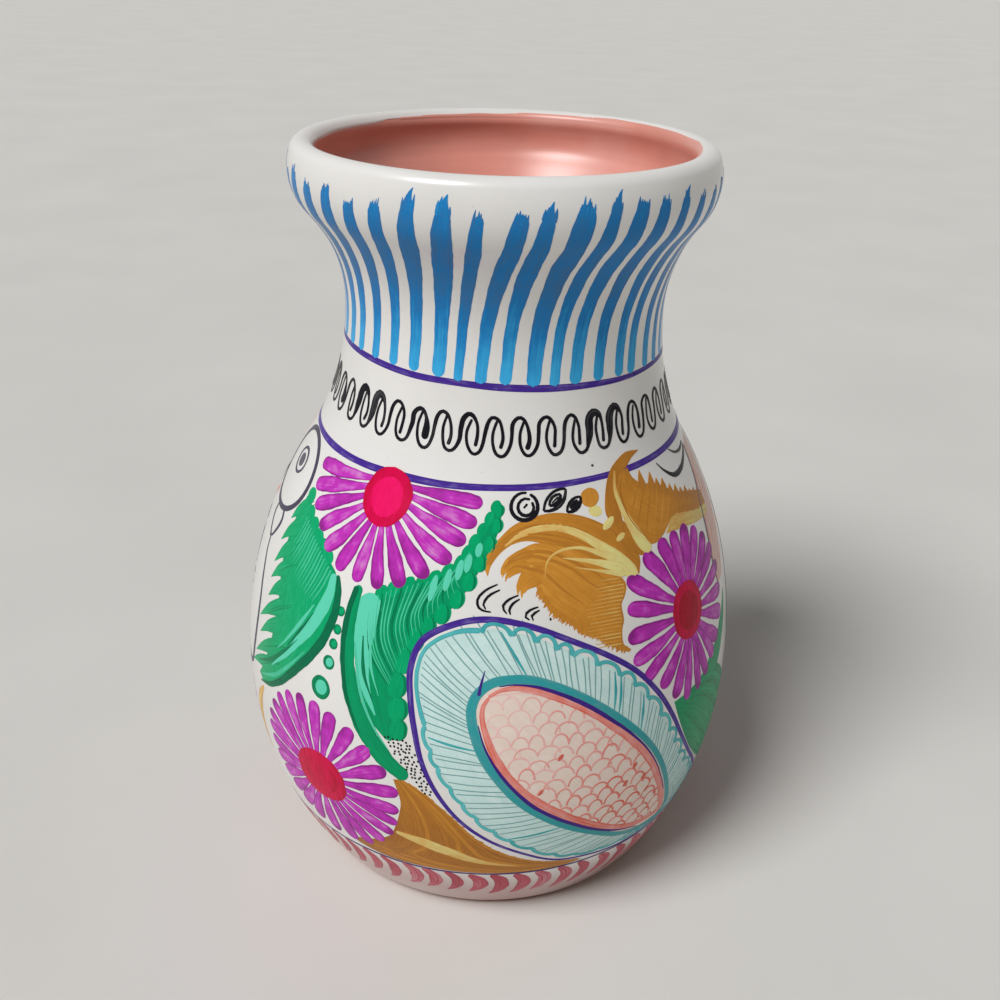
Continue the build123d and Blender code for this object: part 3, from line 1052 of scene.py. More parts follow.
class OLLA_OT_scroll_band(OllaOperator, bpy.types.Operator):
    """Paint the running black scroll round the collar"""

    bl_idname = "olla.scroll_band"
    bl_label = "Scroll band"

    BOWL, ARCH = 143.1, 152.1
    START = -1.0
    # Sag of the band, and the angle where it is half as deep
    SAG, SAG_FROM = 0.75, 35
    # One stroke: steps to the right, of which PITCH make one gap, and share of the height
    PITCH = 8.2
    PATH = (
        (0.2, 0.92), (-0.7, 0.6), (-0.6, 0.3), (0.4, 0.07), (1.9, -0.01), (3.5, 0.07), (4.5, 0.3),
        (4.9, 0.58), (5.3, 0.85), (6.9, 1), (8.8, 0.93), (10, 0.7), (10.2, 0.42), (9.8, 0.17),
    )

    def build(self):
        """Each stroke drops into a bowl, swings over an arch and ends inside the next bowl."""
        brush = Brush(self.jar, 31)
        line = self.brushes.scroll_line / MM
        gap = 360 / self.brushes.scrolls
        for k in range(self.brushes.scrolls):
            start = self.START + gap * k + brush.jitter(0.35)
            drop = self.SAG * (1 + math.sin((start - self.SAG_FROM) * DEGREE))
            low, high = self.BOWL - drop + brush.jitter(0.25), self.ARCH - drop + brush.jitter(0.35)
            path = [
                (start + x * gap / self.PITCH + brush.jitter(0.2), low + (high - low) * y)
                for x, y in self.PATH
            ]
            heavy, tail = (brush.rng.choice((1, 1, 1, 1.3, 2.3)) for _ in range(2))
            press = (
                0.8, 0.9, 0.95, 1.0, 1.05, 1.1 * heavy, 1.25 * heavy, 1.1 * heavy, 0.95, tail, 1.15 * tail,
            )
            brush.stroke(path, [line * p for p in press], LINE, 0.45 + brush.jitter(0.1), step=0.7)
        brush.lay("scroll_band", paint_look("black_paint", self.colours.black, dark=0.5, light=1.12))


class OLLA_OT_daisies(OllaOperator, bpy.types.Operator):
    """Paint the magenta daisies with their red discs"""

    bl_idname = "olla.daisies"
    bl_label = "Daisies"

    # Directions of the petals of each kind of flower
    HALF = (178.4, 194, 209.4, 225.4, 240.3, 254.6, 266.2, 277.8, 289.4, 304.4, 321, 337.2, 352, 366.5)
    SIDE = (
        60, 76, 91, 106, 123, 142, 159, 180, 198, 217, 236, 253, 265, 277, 288, 300, 313, 331, 350, 370,
        389, 405,
    )
    LOW = (
        119, 132, 145, 158, 171, 184, 198, 212, 226, 240, 255, 271, 286, 300, 314, 329, 342, 356, 373,
        390, 408, 424, 439, 453, 466,
    )
    ROUND = tuple(range(0, 360, 16))
    # Share of the full reach that the petals have in a few directions
    HALF_REACH = (
        (178, 0.995), (225, 0.885), (256, 1.03), (278, 1.045), (304, 0.94), (337, 0.875), (367, 0.93),
    )
    SIDE_REACH = (
        (45, 0.93), (76, 0.95), (91, 0.925), (142, 1.05), (165, 0.9), (198, 0.9), (236, 0.885),
        (268, 1.1), (300, 0.975), (350, 0.86), (405, 0.93),
    )
    LOW_REACH = (
        (119, 1.07), (171, 0.98), (212, 0.91), (255, 0.985), (300, 1.07), (356, 0.97), (373, 1),
        (408, 0.985), (466, 1.06),
    )
    ROUND_REACH = ((0, 0.99), (45, 0.89), (90, 0.99), (135, 0.89), (180, 0.99), (270, 0.9), (360, 0.99))
    # Centre, disc half sizes, reach of the petals, their directions, how much wider the roots fan out,
    # share of the reach, and tone of the disc's middle, which is kept low on the right-hand and the low daisy
    # as painted shade
    FLOWERS = (
        ((-31, 129.2), (7.5, 7.4), (29.4, 21.2), HALF, 1.3, HALF_REACH, 0.78),
        ((51.3, 95), (5.9, 7.8), (22, 23.2), SIDE, 1.0, SIDE_REACH, 0.12),
        ((-37.8, 49.6), (7.3, 8), (20.6, 22.2), LOW, 1.0, LOW_REACH, 0.34),
        ((-86.5, 44.6), (5.6, 6.4), (14.6, 17.2), ROUND, 1.0, ROUND_REACH, 0.7),
    )
    # Width of a petal from its root to its tip, as a share of its greatest width
    SWELL = (0.36, 0.5, 0.74, 0.95, 1, 0.8)
    # Shares: of the disc where a petal's root lies, of the gap that it fills, and of its length where it
    # bows. The disc's middle is measured in half sizes of the disc.
    ROOT, FULLNESS, BOW, MIDDLE = 0.9, 0.71, 0.55, 1.35

    def build(self):
        """Petals first, then the discs over their roots."""
        petals, discs = Brush(self.jar, 41), Brush(self.jar, 42)
        for turn in SIDES:
            petals.turn = discs.turn = turn
            for flower in self.FLOWERS:
                self.flower(petals, discs, *flower)
        look = paint_look(
            "petal_paint", self.colours.magenta, dark=0.5, light=1.3, hair=0.4, pool=0.85, edge_dark=0.6,
            tip_dark=0.5,
        )
        petals.lay("daisy_petals", look)
        # The dark red is deepened to paint the shade on the discs.
        look = paint_look(
            "disc_paint", self.colours.red, dark=linear(172, 12, 40), light=linear(244, 24, 108), hair=0.3
        )
        discs.lay("daisy_discs", look)

    def flower(self, petals, discs, centre, disc, reach, ways, fan, shares, tone):
        """One daisy: drop-shaped petals that fill their own share of the round, and a disc."""
        middle = (ways[0] + ways[-1]) / 2
        metre = self.jar.metre(centre[1])
        whole_round = ways[-1] - ways[0] > 300
        for k, way in enumerate(ways):
            is_last = k + 1 == len(ways)
            before = ways[k - 1] if k or whole_round else 2 * way - ways[1]
            after = 2 * way - ways[k - 1] if is_last and not whole_round else ways[(k + 1) % len(ways)]
            gap = ((after - before) % 360) / 2
            root_way = middle + (way - middle) * fan
            far = np.interp(way, *zip(*shares)) + petals.jitter(0.008)
            cos, sin = math.cos(way * DEGREE), math.sin(way * DEGREE)
            root = on_oval(centre, self.ROOT * disc[0], self.ROOT * disc[1], root_way)
            tip = on_oval(centre, far * reach[0], far * reach[1], way)
            beside = math.hypot(reach[0] * metre * sin, reach[1] * cos)
            full = min(self.FULLNESS * gap * DEGREE * beside, self.brushes.petal / MM)
            full *= 1 + petals.jitter(0.06)
            bend = petals.jitter(0.4)
            bow = petals.shift(toward(root, tip, self.BOW), bend * sin, -bend * cos)
            widths = [full * share for share in self.SWELL]
            petals.stroke((root, bow, tip), widths, PETAL, 0.48 + petals.jitter(0.07), shake=0.04)
        # Both dabs take the flower's tone, so the discs of the shaded daisies are painted darker.
        discs.dab(centre, 2 * disc[1], 2 * disc[0] * metre, TOP + 5 * FILM, 0.34 + 0.1 * tone)
        discs.dab(centre, self.MIDDLE * disc[1], self.MIDDLE * disc[0] * metre, TOP + 10 * FILM, tone)


class OLLA_OT_green_leaves(OllaOperator, bpy.types.Operator):
    """Paint the feathered green leaves and the row of green drops"""

    bl_idname = "olla.green_leaves"
    bl_label = "Green leaves"

    SAW_RIGHT = (
        (-57.5, 121), (-53, 116), (-47.5, 112.8), (-42, 109.5), (-38.3, 106.5), (-37.3, 100),
        (-37.2, 91), (-40.6, 83.5), (-46.6, 76), (-52.6, 69.5), (-60, 64.2),
    )
    SAW_LEFT = (
        (-59.5, 120), (-60.5, 113.5), (-60.3, 107), (-59.5, 102), (-58, 97), (-56.5, 92), (-56.2, 87),
        (-56.5, 82.5), (-57.5, 77), (-60, 70.5), (-63, 65.5),
    )
    # Root and tip of each tooth
    SAW_TEETH = (
        ((-57, 118), (-62.8, 112)), ((-57, 112.5), (-63.8, 105.3)), ((-56.5, 107), (-63.6, 99)),
        ((-55.5, 101.5), (-63, 94.7)), ((-54.5, 96.5), (-62.2, 89.8)), ((-53.5, 91.5), (-65.2, 82)),
        ((-53, 86.5), (-63.8, 77.8)), ((-53, 80), (-66, 70.5)), ((-54, 73.5), (-69, 65.5)),
    )
    RIB_TOP = (
        (0, 132.4), (-2.5, 127.5), (-5.5, 122.5), (-8, 117.8), (-13, 113.8), (-18, 111.6), (-24, 108.6),
        (-28, 105), (-29.5, 98), (-29, 90), (-27.5, 82), (-24.5, 75), (-20.5, 70.2),
    )
    RIB_LOW = (
        (1.6, 130.5), (0.8, 125), (-1.8, 119), (-4.6, 113), (-8.2, 107), (-12.5, 101.8), (-15.6, 97),
        (-17.2, 92), (-18, 86.5), (-17.9, 81.5), (-17, 77), (-17.3, 73), (-19.3, 70),
    )
    SAW_COMB = ((-55, 116), (-40.6, 107.6))
    SAW_DABS = (
        (-57.6, 121), (-54.6, 117.2), (-51.3, 115.4), (-48.2, 113.5), (-45.4, 112), (-42.8, 110.2),
    )
    # Lines of light and shade: chart points, widths, tone
    SAW_LIGHTS = (
        (((-39.2, 107.2), (-39.4, 101), (-41.5, 94), (-45.6, 86.4), (-50.2, 79.4), (-55.5, 73)),
         (2, 3.6, 3.5, 2.4, 1.5, 0.3), 0.93),
        (((-43, 97.5), (-46.2, 91), (-50.2, 84), (-53.5, 79.5)), (0.3, 1.3, 0.9, 0.2), 0.85),
        (((-43.2, 84.5), (-47.8, 78), (-53.5, 71.4), (-61.5, 66)), (0.3, 1.2, 1.3, 0.3), 0.72),
        (((-46, 86.5), (-50.3, 80.5), (-56.5, 74), (-64, 68.8)), (0.3, 1.4, 1.2, 0.2), 0.2),
        (((-42.6, 95.5), (-45.6, 89.4), (-49.6, 82.6)), (0.2, 0.9, 0.2), 0.15),
        (((-38.2, 107.2), (-36.7, 103), (-36.6, 97), (-38.4, 90), (-41.5, 84), (-45.6, 78),
          (-50.6, 71.5), (-56, 66.6), (-62, 63.6)),
         (1.2, 2.3, 2.6, 2.6, 2.4, 2.1, 1.5, 0.4), 0.12),
    )
    # The same, with the layer before the tone
    RIB_LIGHTS = (
        (((-27.5, 106.2), (-28, 99), (-27.5, 90), (-25.6, 82), (-23, 76)),
         (6.4, 6.4, 4.6, 2.8, 0.4), DETAIL, 0.93),
        (((-28, 95.5), (-26.6, 86.5), (-23.8, 79.5)), (0.3, 1.1, 0.2), LINE, 0.18),
        (((-26.4, 98), (-25.2, 89), (-22.6, 81.5)), (0.3, 0.9, 0.15), LINE, 0.85),
        (((-31.4, 107), (-32, 99), (-31.2, 89), (-28.6, 78.5), (-24.6, 70), (-20, 63.8),
          (-15.6, 59.8)),
         (2.2, 3.4, 4.2, 4.8, 5.2, 5.4, 3.8), LINE, 0.36),
        (((-32, 106.6), (-32.9, 99), (-32.4, 89), (-30, 78), (-26.4, 69.5)),
         (1.6, 1.8, 1.4, 1.2, 0.3), TOP, 0.1),
        (((-29.6, 93), (-27.2, 82), (-23.6, 73.4), (-19.8, 67.4)), (0.2, 0.8, 0.9, 0.7, 0.15), TOP, 0.8),
    )
    # Beads down the low edge of the ribbed leaf: step along the edge, size
    BEADS = (
        (0.1, 3.2), (0.75, 3.7), (1.5, 4.1), (2.25, 4.4), (3, 4.7), (3.7, 4.9), (4.4, 5.2), (5.1, 5.6),
        (5.9, 6.2), (7, 6.8), (8.2, 7), (9.5, 7), (10.8, 6.4),
    )
    # Mint dabs, and drops further on: chart point, length
    MINT_DABS = (
        (-13.5, 110.6, 6.5), (-10.4, 113, 5.5), (-7.9, 115.6, 5), (-6, 117.3, 4.5), (-3.7, 120.6, 3.4),
    )
    BROAD_TOP = ((45, 72), (52, 72.6), (59, 73.4), (65, 71), (71, 65), (77, 57), (81, 48))
    BROAD_LOW = (
        (44.6, 72.2), (46.8, 65.5), (49.8, 58.5), (53.5, 51.8), (58.6, 45), (64.5, 39), (72, 33),
    )
    BLADE = ((50, 68), (58.5, 70.5), (65, 75.5), (70, 82), (73.4, 89))
    DROPS = (
        (-34.9, 99.1, 2.6), (-34.9, 94.4, 2.7), (-35.3, 90.4, 2.9), (-35.8, 85.2, 3.9),
        (-37.3, 77.5, 6.6),
    )

    def build(self):
        """A saw-edged leaf, a ribbed leaf, a broad dark leaf low on the right, and the drops."""
        brush = Brush(self.jar, 51)
        for turn in SIDES:
            brush.turn = turn
            self.saw_leaf(brush)
            self.ribbed_leaf(brush)
            self.broad_leaf(brush)
            self.drops(brush)
        look = paint_look(
            "green_paint", self.colours.green, dark=linear(4, 104, 70), light=self.colours.mint,
            hair=0.22, pool=0.14, edge_dark=0.12,
        )
        brush.lay("green_leaves", look)

    def saw_leaf(self, brush):
        """The left leaf: a body, long teeth, combed streaks and mint lights inside a dark edge."""
        brush.fill(self.SAW_LEFT, self.SAW_RIGHT, COAT, 0.5)
        for root, tip in self.SAW_TEETH:
            middle = brush.shift(toward(root, tip, 0.55), -0.3, 0.6)
            brush.stroke((root, middle, tip), (4.8, 4.6, 3.4, 1.8, 0.2), COAT + FILM, 0.5, shake=0.02)
            for k in range(2):
                start = brush.shift(root, 2.5 + brush.jitter(1.5), 2.0 + brush.jitter(1.2))
                end = brush.shift(toward(root, tip, 0.6), brush.jitter(0.5), 0.6 - 1.2 * k)
                streak = (start, brush.shift(toward(start, end, 0.5), -0.2, 0.3), end)
                brush.stroke(streak, (0.2, 0.5, 0.5, 0.12), DETAIL, brush.rng.choice((0.34, 0.5)))
        for spot in self.SAW_DABS:
            brush.dab(spot, 4.2, 3.6, COAT + 2 * FILM, 0.5, 130)
        for k in range(15):
            start = toward(*self.SAW_COMB, k / 14)
            end = brush.shift(start, -2.6 - 0.06 * k + brush.jitter(0.3), -9.5 - 2.0 * math.sin(k * 0.22))
            comb = (start, brush.shift(toward(start, end, 0.5), 0.4, 0), end)
            brush.stroke(comb, (0.45, 0.5, 0.4, 0.12), DETAIL, 0.74 if k % 4 else 0.64)
        for line, widths, tone in self.SAW_LIGHTS:
            brush.stroke(line, widths, LINE, tone)

    def ribbed_leaf(self, brush):
        """The middle leaf: a mint blade on the left and a ribbed arm that climbs to the right."""
        brush.fill(self.RIB_TOP, self.RIB_LOW, COAT, 0.36, columns=9)
        for step, size in self.BEADS:
            x, y = spot_on(self.RIB_LOW, step)
            brush.dab((x - 0.7, y), size, 0.8 * size, COAT + 2 * FILM, 0.46 + brush.jitter(0.04), 78)
            arc = oval((x - 0.7, y), 0.26 * size, 0.5 * size, 80, -70, 5)
            brush.stroke(arc, (0.15, 0.5, 0.5, 0.12), DETAIL, 0.2)
        for step in np.linspace(0.2, 6.4, 12):
            spot = brush.shift(spot_on(self.RIB_TOP, step), 0.3, -0.6)
            grow = min(step / 3, 1)
            tone = 0.45 + brush.jitter(0.05)
            brush.dab(spot, 3.2 + 1.4 * grow, 2.3 + 0.9 * grow, COAT + 1.5 * FILM, tone, 70)
        for k, step in enumerate(np.linspace(2.4, 7.2, 24)):
            start = brush.shift(spot_on(self.RIB_TOP, step), 0.5, -0.6)
            end = spot_on(self.RIB_LOW, min(step + 1.6 + 0.1 * k, 10.4))
            end = toward(start, end, 0.66)
            bow = brush.shift(toward(start, end, 0.5), -1.9, -1.6)
            tone, wide = (0.18, 0.7) if k % 4 == 3 else (0.74, 0.42)
            brush.stroke((start, bow, end), (0.2, wide, 0.8 * wide, 0.12), DETAIL, tone)
        for x, y, tall in self.MINT_DABS:
            brush.dab((x, y), tall, 1.7, LINE, 0.93, 82)
        for line, widths, lift, tone in self.RIB_LIGHTS:
            brush.stroke(line, widths, lift, tone)

    def broad_leaf(self, brush):
        """A dark leaf under the right-hand daisy, with a thin blade that climbs beside it."""
        brush.fill(self.BROAD_TOP, self.BROAD_LOW, COAT, 0.4, columns=17, rows=40)
        brush.stroke(self.BLADE, (3, 9, 8, 5, 0.6), COAT - FILM, 0.42)
        for k in range(9):
            share = 0.12 + 0.09 * k
            line = between(self.BROAD_TOP[1:], self.BROAD_LOW[1:], share)
            brush.stroke(line, (0.2, 0.9, 0.8, 0.15), DETAIL, brush.rng.choice((0.28, 0.46, 0.54)))

    def drops(self, brush):
        """Drops that grow downwards, the larger ones with a mint middle."""
        for x, y, size in self.DROPS:
            brush.dab((x, y), size, 0.95 * size, COAT, 0.25, 75)
            brush.dab((x + 0.2, y + 0.1), 0.66 * size, 0.58 * size, DETAIL, 0.5 if size < 3.5 else 0.88, 60)


class OLLA_OT_golden_leaves(OllaOperator, bpy.types.Operator):
    """Paint the combed ochre leaves with their straw-coloured lights"""

    bl_idname = "olla.golden_leaves"
    bl_label = "Golden leaves"

    ARCH_OUT = (
        (-1.2, 114.5), (-2.3, 117.2), (-1, 120.8), (1.8, 124.2), (5, 126.8), (10.2, 128.5), (15.8, 129),
        (21.2, 128), (25.2, 126.5), (29.2, 124.2), (33.2, 121.2), (36, 117.8), (37.8, 114.2),
        (36.8, 110.4),
    )
    ARCH_IN = (
        (-1.2, 114.5), (-0.5, 117.2), (1.5, 120), (4.2, 122), (7.5, 122.8), (10.5, 122.4), (14.5, 121),
        (18.5, 119.4), (22.5, 117), (26, 114.6), (29, 112.6), (31.5, 111.2), (33.6, 110.6), (36, 110.2),
    )
    FAN_TOP = (
        (1.8, 115), (1.8, 116.6), (3.2, 119), (6.2, 120.8), (10, 122.2), (14, 121.6), (18.5, 120.2),
        (23, 117.8), (27, 114.8), (31, 111.4), (32.5, 108.8), (31.8, 106.2), (30.6, 104.2),
        (30.9, 100.4), (30.2, 98), (30.3, 94.4), (32.2, 92.4),
    )
    FAN_LOW = (
        (2.2, 115), (4, 115.8), (6.2, 115.8), (7.4, 114.6), (8.6, 113.4), (9.8, 112.6), (10.4, 110.8),
        (12, 107.9), (13.8, 105.3), (15.8, 103.6), (18, 102), (19.8, 100), (22, 98.5), (24.5, 97),
        (26.5, 95.4), (29, 93.4), (31.6, 91.8),
    )
    # Dry tips: chart points, width
    TIPS = (
        ((9.5, 120), (5.4, 118.6), (3, 116.4), (2.1, 114.4), 3.6),
        ((8, 118), (5, 116.8), (3.4, 115), (2.9, 113.4), 2.4),
        ((8.5, 117), (6.4, 116.2), (4.6, 115.2), (3.6, 114.2), 1.8),
        ((12.5, 117), (8.4, 115), (6.2, 112.6), (5.8, 110.2), 4.2),
        ((11.5, 115), (8.6, 113.8), (7, 111.8), (6.7, 109.5), 2.8),
        ((11.5, 113.8), (9.6, 112.9), (8, 111.8), (7.2, 110.6), 2.2),
    )
    PALE_TOP = (
        (2.5, 122), (6.2, 125), (11.5, 126.5), (16.8, 126.2), (22, 124.2), (27, 121), (32.2, 117),
        (35.8, 112.8), (36.4, 110.4),
    )
    PALE_LOW = (
        (2.5, 121.5), (6.2, 123.5), (11.2, 124.8), (16.5, 124.5), (21.8, 122), (26.5, 118.2),
        (29.2, 114.2), (31.2, 111.6), (34.5, 110),
    )
    BACK_TOP = (
        (41, 136), (42, 133.4), (45, 131), (49.5, 129.8), (54, 127.4), (58.5, 124.6), (63, 123),
        (68.8, 120.8), (74, 118.6),
    )
    BACK_LOW = (
        (36, 135), (34.4, 130), (35.2, 125.5), (37.8, 120.5), (42.5, 116), (47.5, 117), (53.5, 119.8),
        (64, 116.8), (74, 114.4),
    )
    # Root and tip of each tooth
    TEETH = (
        ((44.6, 128.5), (45.4, 134.4)), ((48.2, 127.5), (49.6, 132.8)), ((50.6, 126.5), (51.6, 130.6)),
        ((53, 125.4), (54.2, 129.8)), ((55.4, 123.8), (56.6, 127.4)), ((57.8, 122.4), (59.2, 126.4)),
        ((60.2, 121.6), (61.4, 124.8)), ((62.8, 120.6), (64.2, 124.2)), ((65.2, 119.6), (66.4, 122.4)),
        ((67.8, 118.6), (69.2, 121.6)), ((70.4, 117.6), (71.6, 120.2)),
    )
    HOOK_OUT = (
        (47, 139.2), (41.5, 139.8), (36.8, 138.2), (34, 136.2), (32.2, 133.5), (30.8, 130),
        (30.2, 126.5), (32, 123),
    )
    HOOK_IN = (
        (47, 139), (43.6, 138), (40.6, 136.2), (37.6, 134.6), (35.2, 132), (34.6, 129.4), (34.8, 126.5),
        (35, 121),
    )
    LOW_LEFT = (
        (-18.6, 58.6), (-17.2, 52.2), (-17.6, 47.5), (-18.8, 42.2), (-20.8, 36.8), (-25.5, 32.4),
        (-32, 28), (-24, 25.4), (-11, 25.3), (4.5, 25.2), (19.5, 25.2),
    )
    LOW_RIGHT = (
        (-16.6, 59.2), (-11.8, 55.6), (-7.3, 50.5), (-3.9, 45.6), (-0.9, 41.2), (2.2, 37.6),
        (5.6, 34.6), (9.5, 31.9), (14, 29.5), (19.2, 27.7), (25, 26),
    )
    # Pale prongs: chart points, widths, tones
    PRONGS = (
        (((31, 115.6), (25.2, 118.5), (21.5, 120), (17.5, 120.2), (14, 119), (12.5, 116.8), (12.2, 114)),
         (2.6, 1.6, 1, 0.7, 0.6, 0.5, 0.2), (0.9, 0.8, 0.72)),
        (((32.6, 113), (23.5, 116.5), (16.8, 118.2)), (2.8, 1.4, 0.2), (0.9, 0.8)),
        (((32.6, 111.4), (24, 114.3), (19.6, 115.6)), (1.8, 0.7, 0.15), (0.9, 0.72)),
    )
    # Dabs along the arch: chart point, length, width, layer, tone, tilt
    DABS = (
        ((26.3, 131.4), 4.7, 4.9, DETAIL, 0.56, 90), ((27.2, 128), 2.8, 3.6, COAT, 0.9, 70),
        ((30.4, 124.4), 4.2, 1.9, TOP, 0.86, 35), ((33.2, 120.4), 3, 1.5, TOP, 0.84, 25),
    )
    TAIL_TOP = ((53, 120.6), (60, 118.4), (66, 116.6), (74, 114.8))
    TAIL_LOW = ((48.5, 116.8), (56, 115.6), (64, 113.8), (74, 112))
    STEM = ((31.4, 126.4), (33.6, 122.4), (36.8, 117.4), (39.2, 114.4))
    # Lines inside the hook: chart points, widths, tones
    HOOK_LINES = (
        (((36, 136.4), (34.8, 132), (35.3, 128.4), (37, 122.8), (39.8, 117), (41.8, 114.8)),
         (0.5, 1.1, 1.6, 2.4, 3.4, 2.8), (0.7, 0.78, 0.86, 0.9)),
        (((37.5, 134), (36.2, 129.6), (37.2, 124), (41.5, 117.6)), (0.2, 0.7, 0.6, 0.2), 0.25),
    )
    STRAW = ((-19, 39.4), (-13.5, 37.8), (-7.6, 35.2), (-0.2, 31.4), (9.2, 28.6))
    SIDE_LEAF = ((-60.5, 62.5), (-64, 56), (-65.5, 48), (-63, 39))
    SIDE_LIGHT = ((-62, 60), (-65.6, 53), (-65.6, 45))
    # Sweeps along the foot: chart point of the first, and how far each next one moves right and down
    SWEEP = ((-26, 29.6, 1, 0.9), (-14, 28.8, 0, 0.8), (2, 27.6, 0, 0.5), (16, 26.6, 0, 0.3))

    def build(self):
        """An arched leaf with a fan, a hooked leaf over the shoulder ring, and a low leaf at the foot."""
        brush = Brush(self.jar, 61)
        for turn in SIDES:
            brush.turn = turn
            self.arched_leaf(brush)
            self.hooked_leaf(brush)
            self.low_leaf(brush)
            self.side_leaf(brush)
        look = paint_look(
            "ochre_paint", self.colours.ochre, dark=linear(156, 98, 40), light=self.colours.straw,
            hair=0.26, pool=0.22, edge_dark=0.08, glow=linear(216, 151, 62),
        )
        brush.lay("golden_leaves", look)

    def arched_leaf(self, brush):
        """An arch and a combed fan under it, with split dry tips on the left and pale prongs on the right."""
        brush.fill(self.ARCH_OUT, self.ARCH_IN, COAT, (0.58, 0.48, 0.43, 0.37), columns=7)
        brush.fill(self.FAN_TOP, self.FAN_LOW, COAT + FILM, (0.62, 0.59, 0.51, 0.42), columns=9)
        for *line, width in self.TIPS:
            widths = (0.8 * width, width, 0.5 * width, 0.15)
            brush.stroke(line, widths, COAT + 2 * FILM, (0.46, 0.5, 0.62))
        fan = list(zip(self.FAN_TOP[1:10], self.FAN_LOW[1:10]))
        low_detail = DETAIL - 2.5 * FILM
        for share in (0.18, 0.34, 0.5, 0.66, 0.82):
            streak = [toward(a, b, share + brush.jitter(0.04)) for a, b in fan]
            brush.stroke(streak, (0.2, 0.8, 0.7, 0.15), low_detail, brush.rng.choice((0.34, 0.38, 0.54)))
            streak = between(self.ARCH_OUT[1:9], self.ARCH_IN[1:9], share)
            brush.stroke(streak, (0.15, 0.6, 0.15), low_detail, brush.rng.choice((0.32, 0.5)))
        edge = np.array(self.FAN_TOP[9:16])[::-1]
        for k in range(19):
            y = 94.6 + 0.9 * k
            right = np.interp(y, edge[:, 1], edge[:, 0]) - 0.5
            left = right - 5.0 - 3.0 * math.sin(math.pi * (k + 2) / 22) - brush.jitter(1.0)
            line = ((left, y + 0.5), (right - 3.0, y + 0.3), (right, y))
            brush.stroke(line, (0.1, 0.26, 0.3), DETAIL, 0.72 + brush.jitter(0.05))
        self.ragged(brush, self.FAN_LOW, np.linspace(6, 15.6, 64), (-0.62, -0.78), COAT + 1.5 * FILM)
        brush.fill(self.PALE_TOP, self.PALE_LOW, DETAIL, (0.74, 0.78, 0.87, 0.92), columns=5)
        for line, widths, tone in self.PRONGS:
            brush.stroke(line, widths, LINE, tone)
        for dab in self.DABS:
            brush.dab(*dab)

    def hooked_leaf(self, brush):
        """A leaf that hooks over the shoulder ring, with a toothed back."""
        tones = (0.42, 0.5, 0.52, 0.47, 0.42)
        brush.fill(self.BACK_TOP, self.BACK_LOW, COAT + 5 * FILM, tones, columns=9)
        for root, tip in self.TEETH:
            tooth = (root, toward(root, tip, 0.5), tip)
            brush.stroke(tooth, (3, 2.4, 0.2), COAT + 6 * FILM, (0.42, 0.38, 0.5))
        for k in range(12):
            start = spot_on(self.BACK_TOP, 0.6 + 0.55 * k)
            end = spot_on(self.BACK_LOW, 1.6 + 0.5 * k)
            bow = brush.shift(toward(start, end, 0.5), -0.8, -0.6)
            tone = brush.rng.choice((0.38, 0.42, 0.52, 0.58))
            brush.stroke((start, bow, end), (0.2, 0.7, 0.15), DETAIL, tone)
        brush.fill(self.TAIL_TOP, self.TAIL_LOW, COAT + 4 * FILM, (0.72, 0.78, 0.8))
        brush.stroke(self.STEM, (3, 4.4, 4.2, 0.8), COAT + 3 * FILM, 0.36)
        brush.fill(self.HOOK_OUT, self.HOOK_IN, DETAIL, (0.42, 0.34, 0.3, 0.34), columns=5)
        for line, widths, tone in self.HOOK_LINES:
            brush.stroke(line, widths, LINE, tone)

    def low_leaf(self, brush):
        """The leaf that sweeps from the low daisy down to the foot and along it."""
        coat = COAT - 1.25 * FILM
        # Low, dark tones: painted shade low on the belly.
        tones = (0.34, 0.28, 0.24, 0.26, 0.3, 0.34)
        brush.fill(self.LOW_LEFT, self.LOW_RIGHT, coat, tones, columns=15, rows=50)
        self.ragged(brush, self.LOW_RIGHT, np.linspace(0.4, 9.8, 60), (0.9, -0.3), coat + 0.75 * FILM)
        sides = list(zip(self.LOW_LEFT[:-1], self.LOW_RIGHT[:-1]))
        for share in np.linspace(0.3, 0.92, 9):
            streak = [toward(a, b, share + brush.jitter(0.02)) for a, b in sides]
            tone = brush.rng.choice((0.26, 0.3, 0.4, 0.46))
            brush.stroke(streak, (0.4, 1.2, 1.3, 0.5), coat + 3 * FILM, tone)
        for k in range(4):
            streak = [(x + right * k, y - down * k) for x, y, right, down in self.SWEEP]
            brush.stroke(streak, (0.3, 1, 0.9, 0.2), coat + 3 * FILM, brush.rng.choice((0.32, 0.38, 0.52)))
        brush.stroke(self.STRAW, (1.2, 3.4, 3.8, 2.6, 1.2, 0.3), LINE, (0.8, 0.82, 0.76, 0.66))

    @staticmethod
    def ragged(brush, edge, steps, way, lift):
        """Short dry hairs that break up an edge; way points out of the leaf."""
        for spot in through(edge, steps):
            reach = brush.rng.uniform(0.1, 1)
            root = brush.shift(spot, -1.3 * way[0], -1.3 * way[1])
            tip = brush.shift(spot, reach * way[0] + brush.jitter(0.3), reach * way[1] + brush.jitter(0.3))
            brush.stroke((root, spot, tip), (1, 0.9, 0.15), lift, 0.46 + brush.jitter(0.07), step=1.5)

    def side_leaf(self, brush):
        """A pale touch of ochre at the left of the low daisy."""
        brush.stroke(self.SIDE_LEAF, (1, 4, 4.6, 0.8), COAT - 5 * FILM, 0.7)
        brush.stroke(self.SIDE_LIGHT, (0.3, 1.2, 0.3), DETAIL, 0.85)


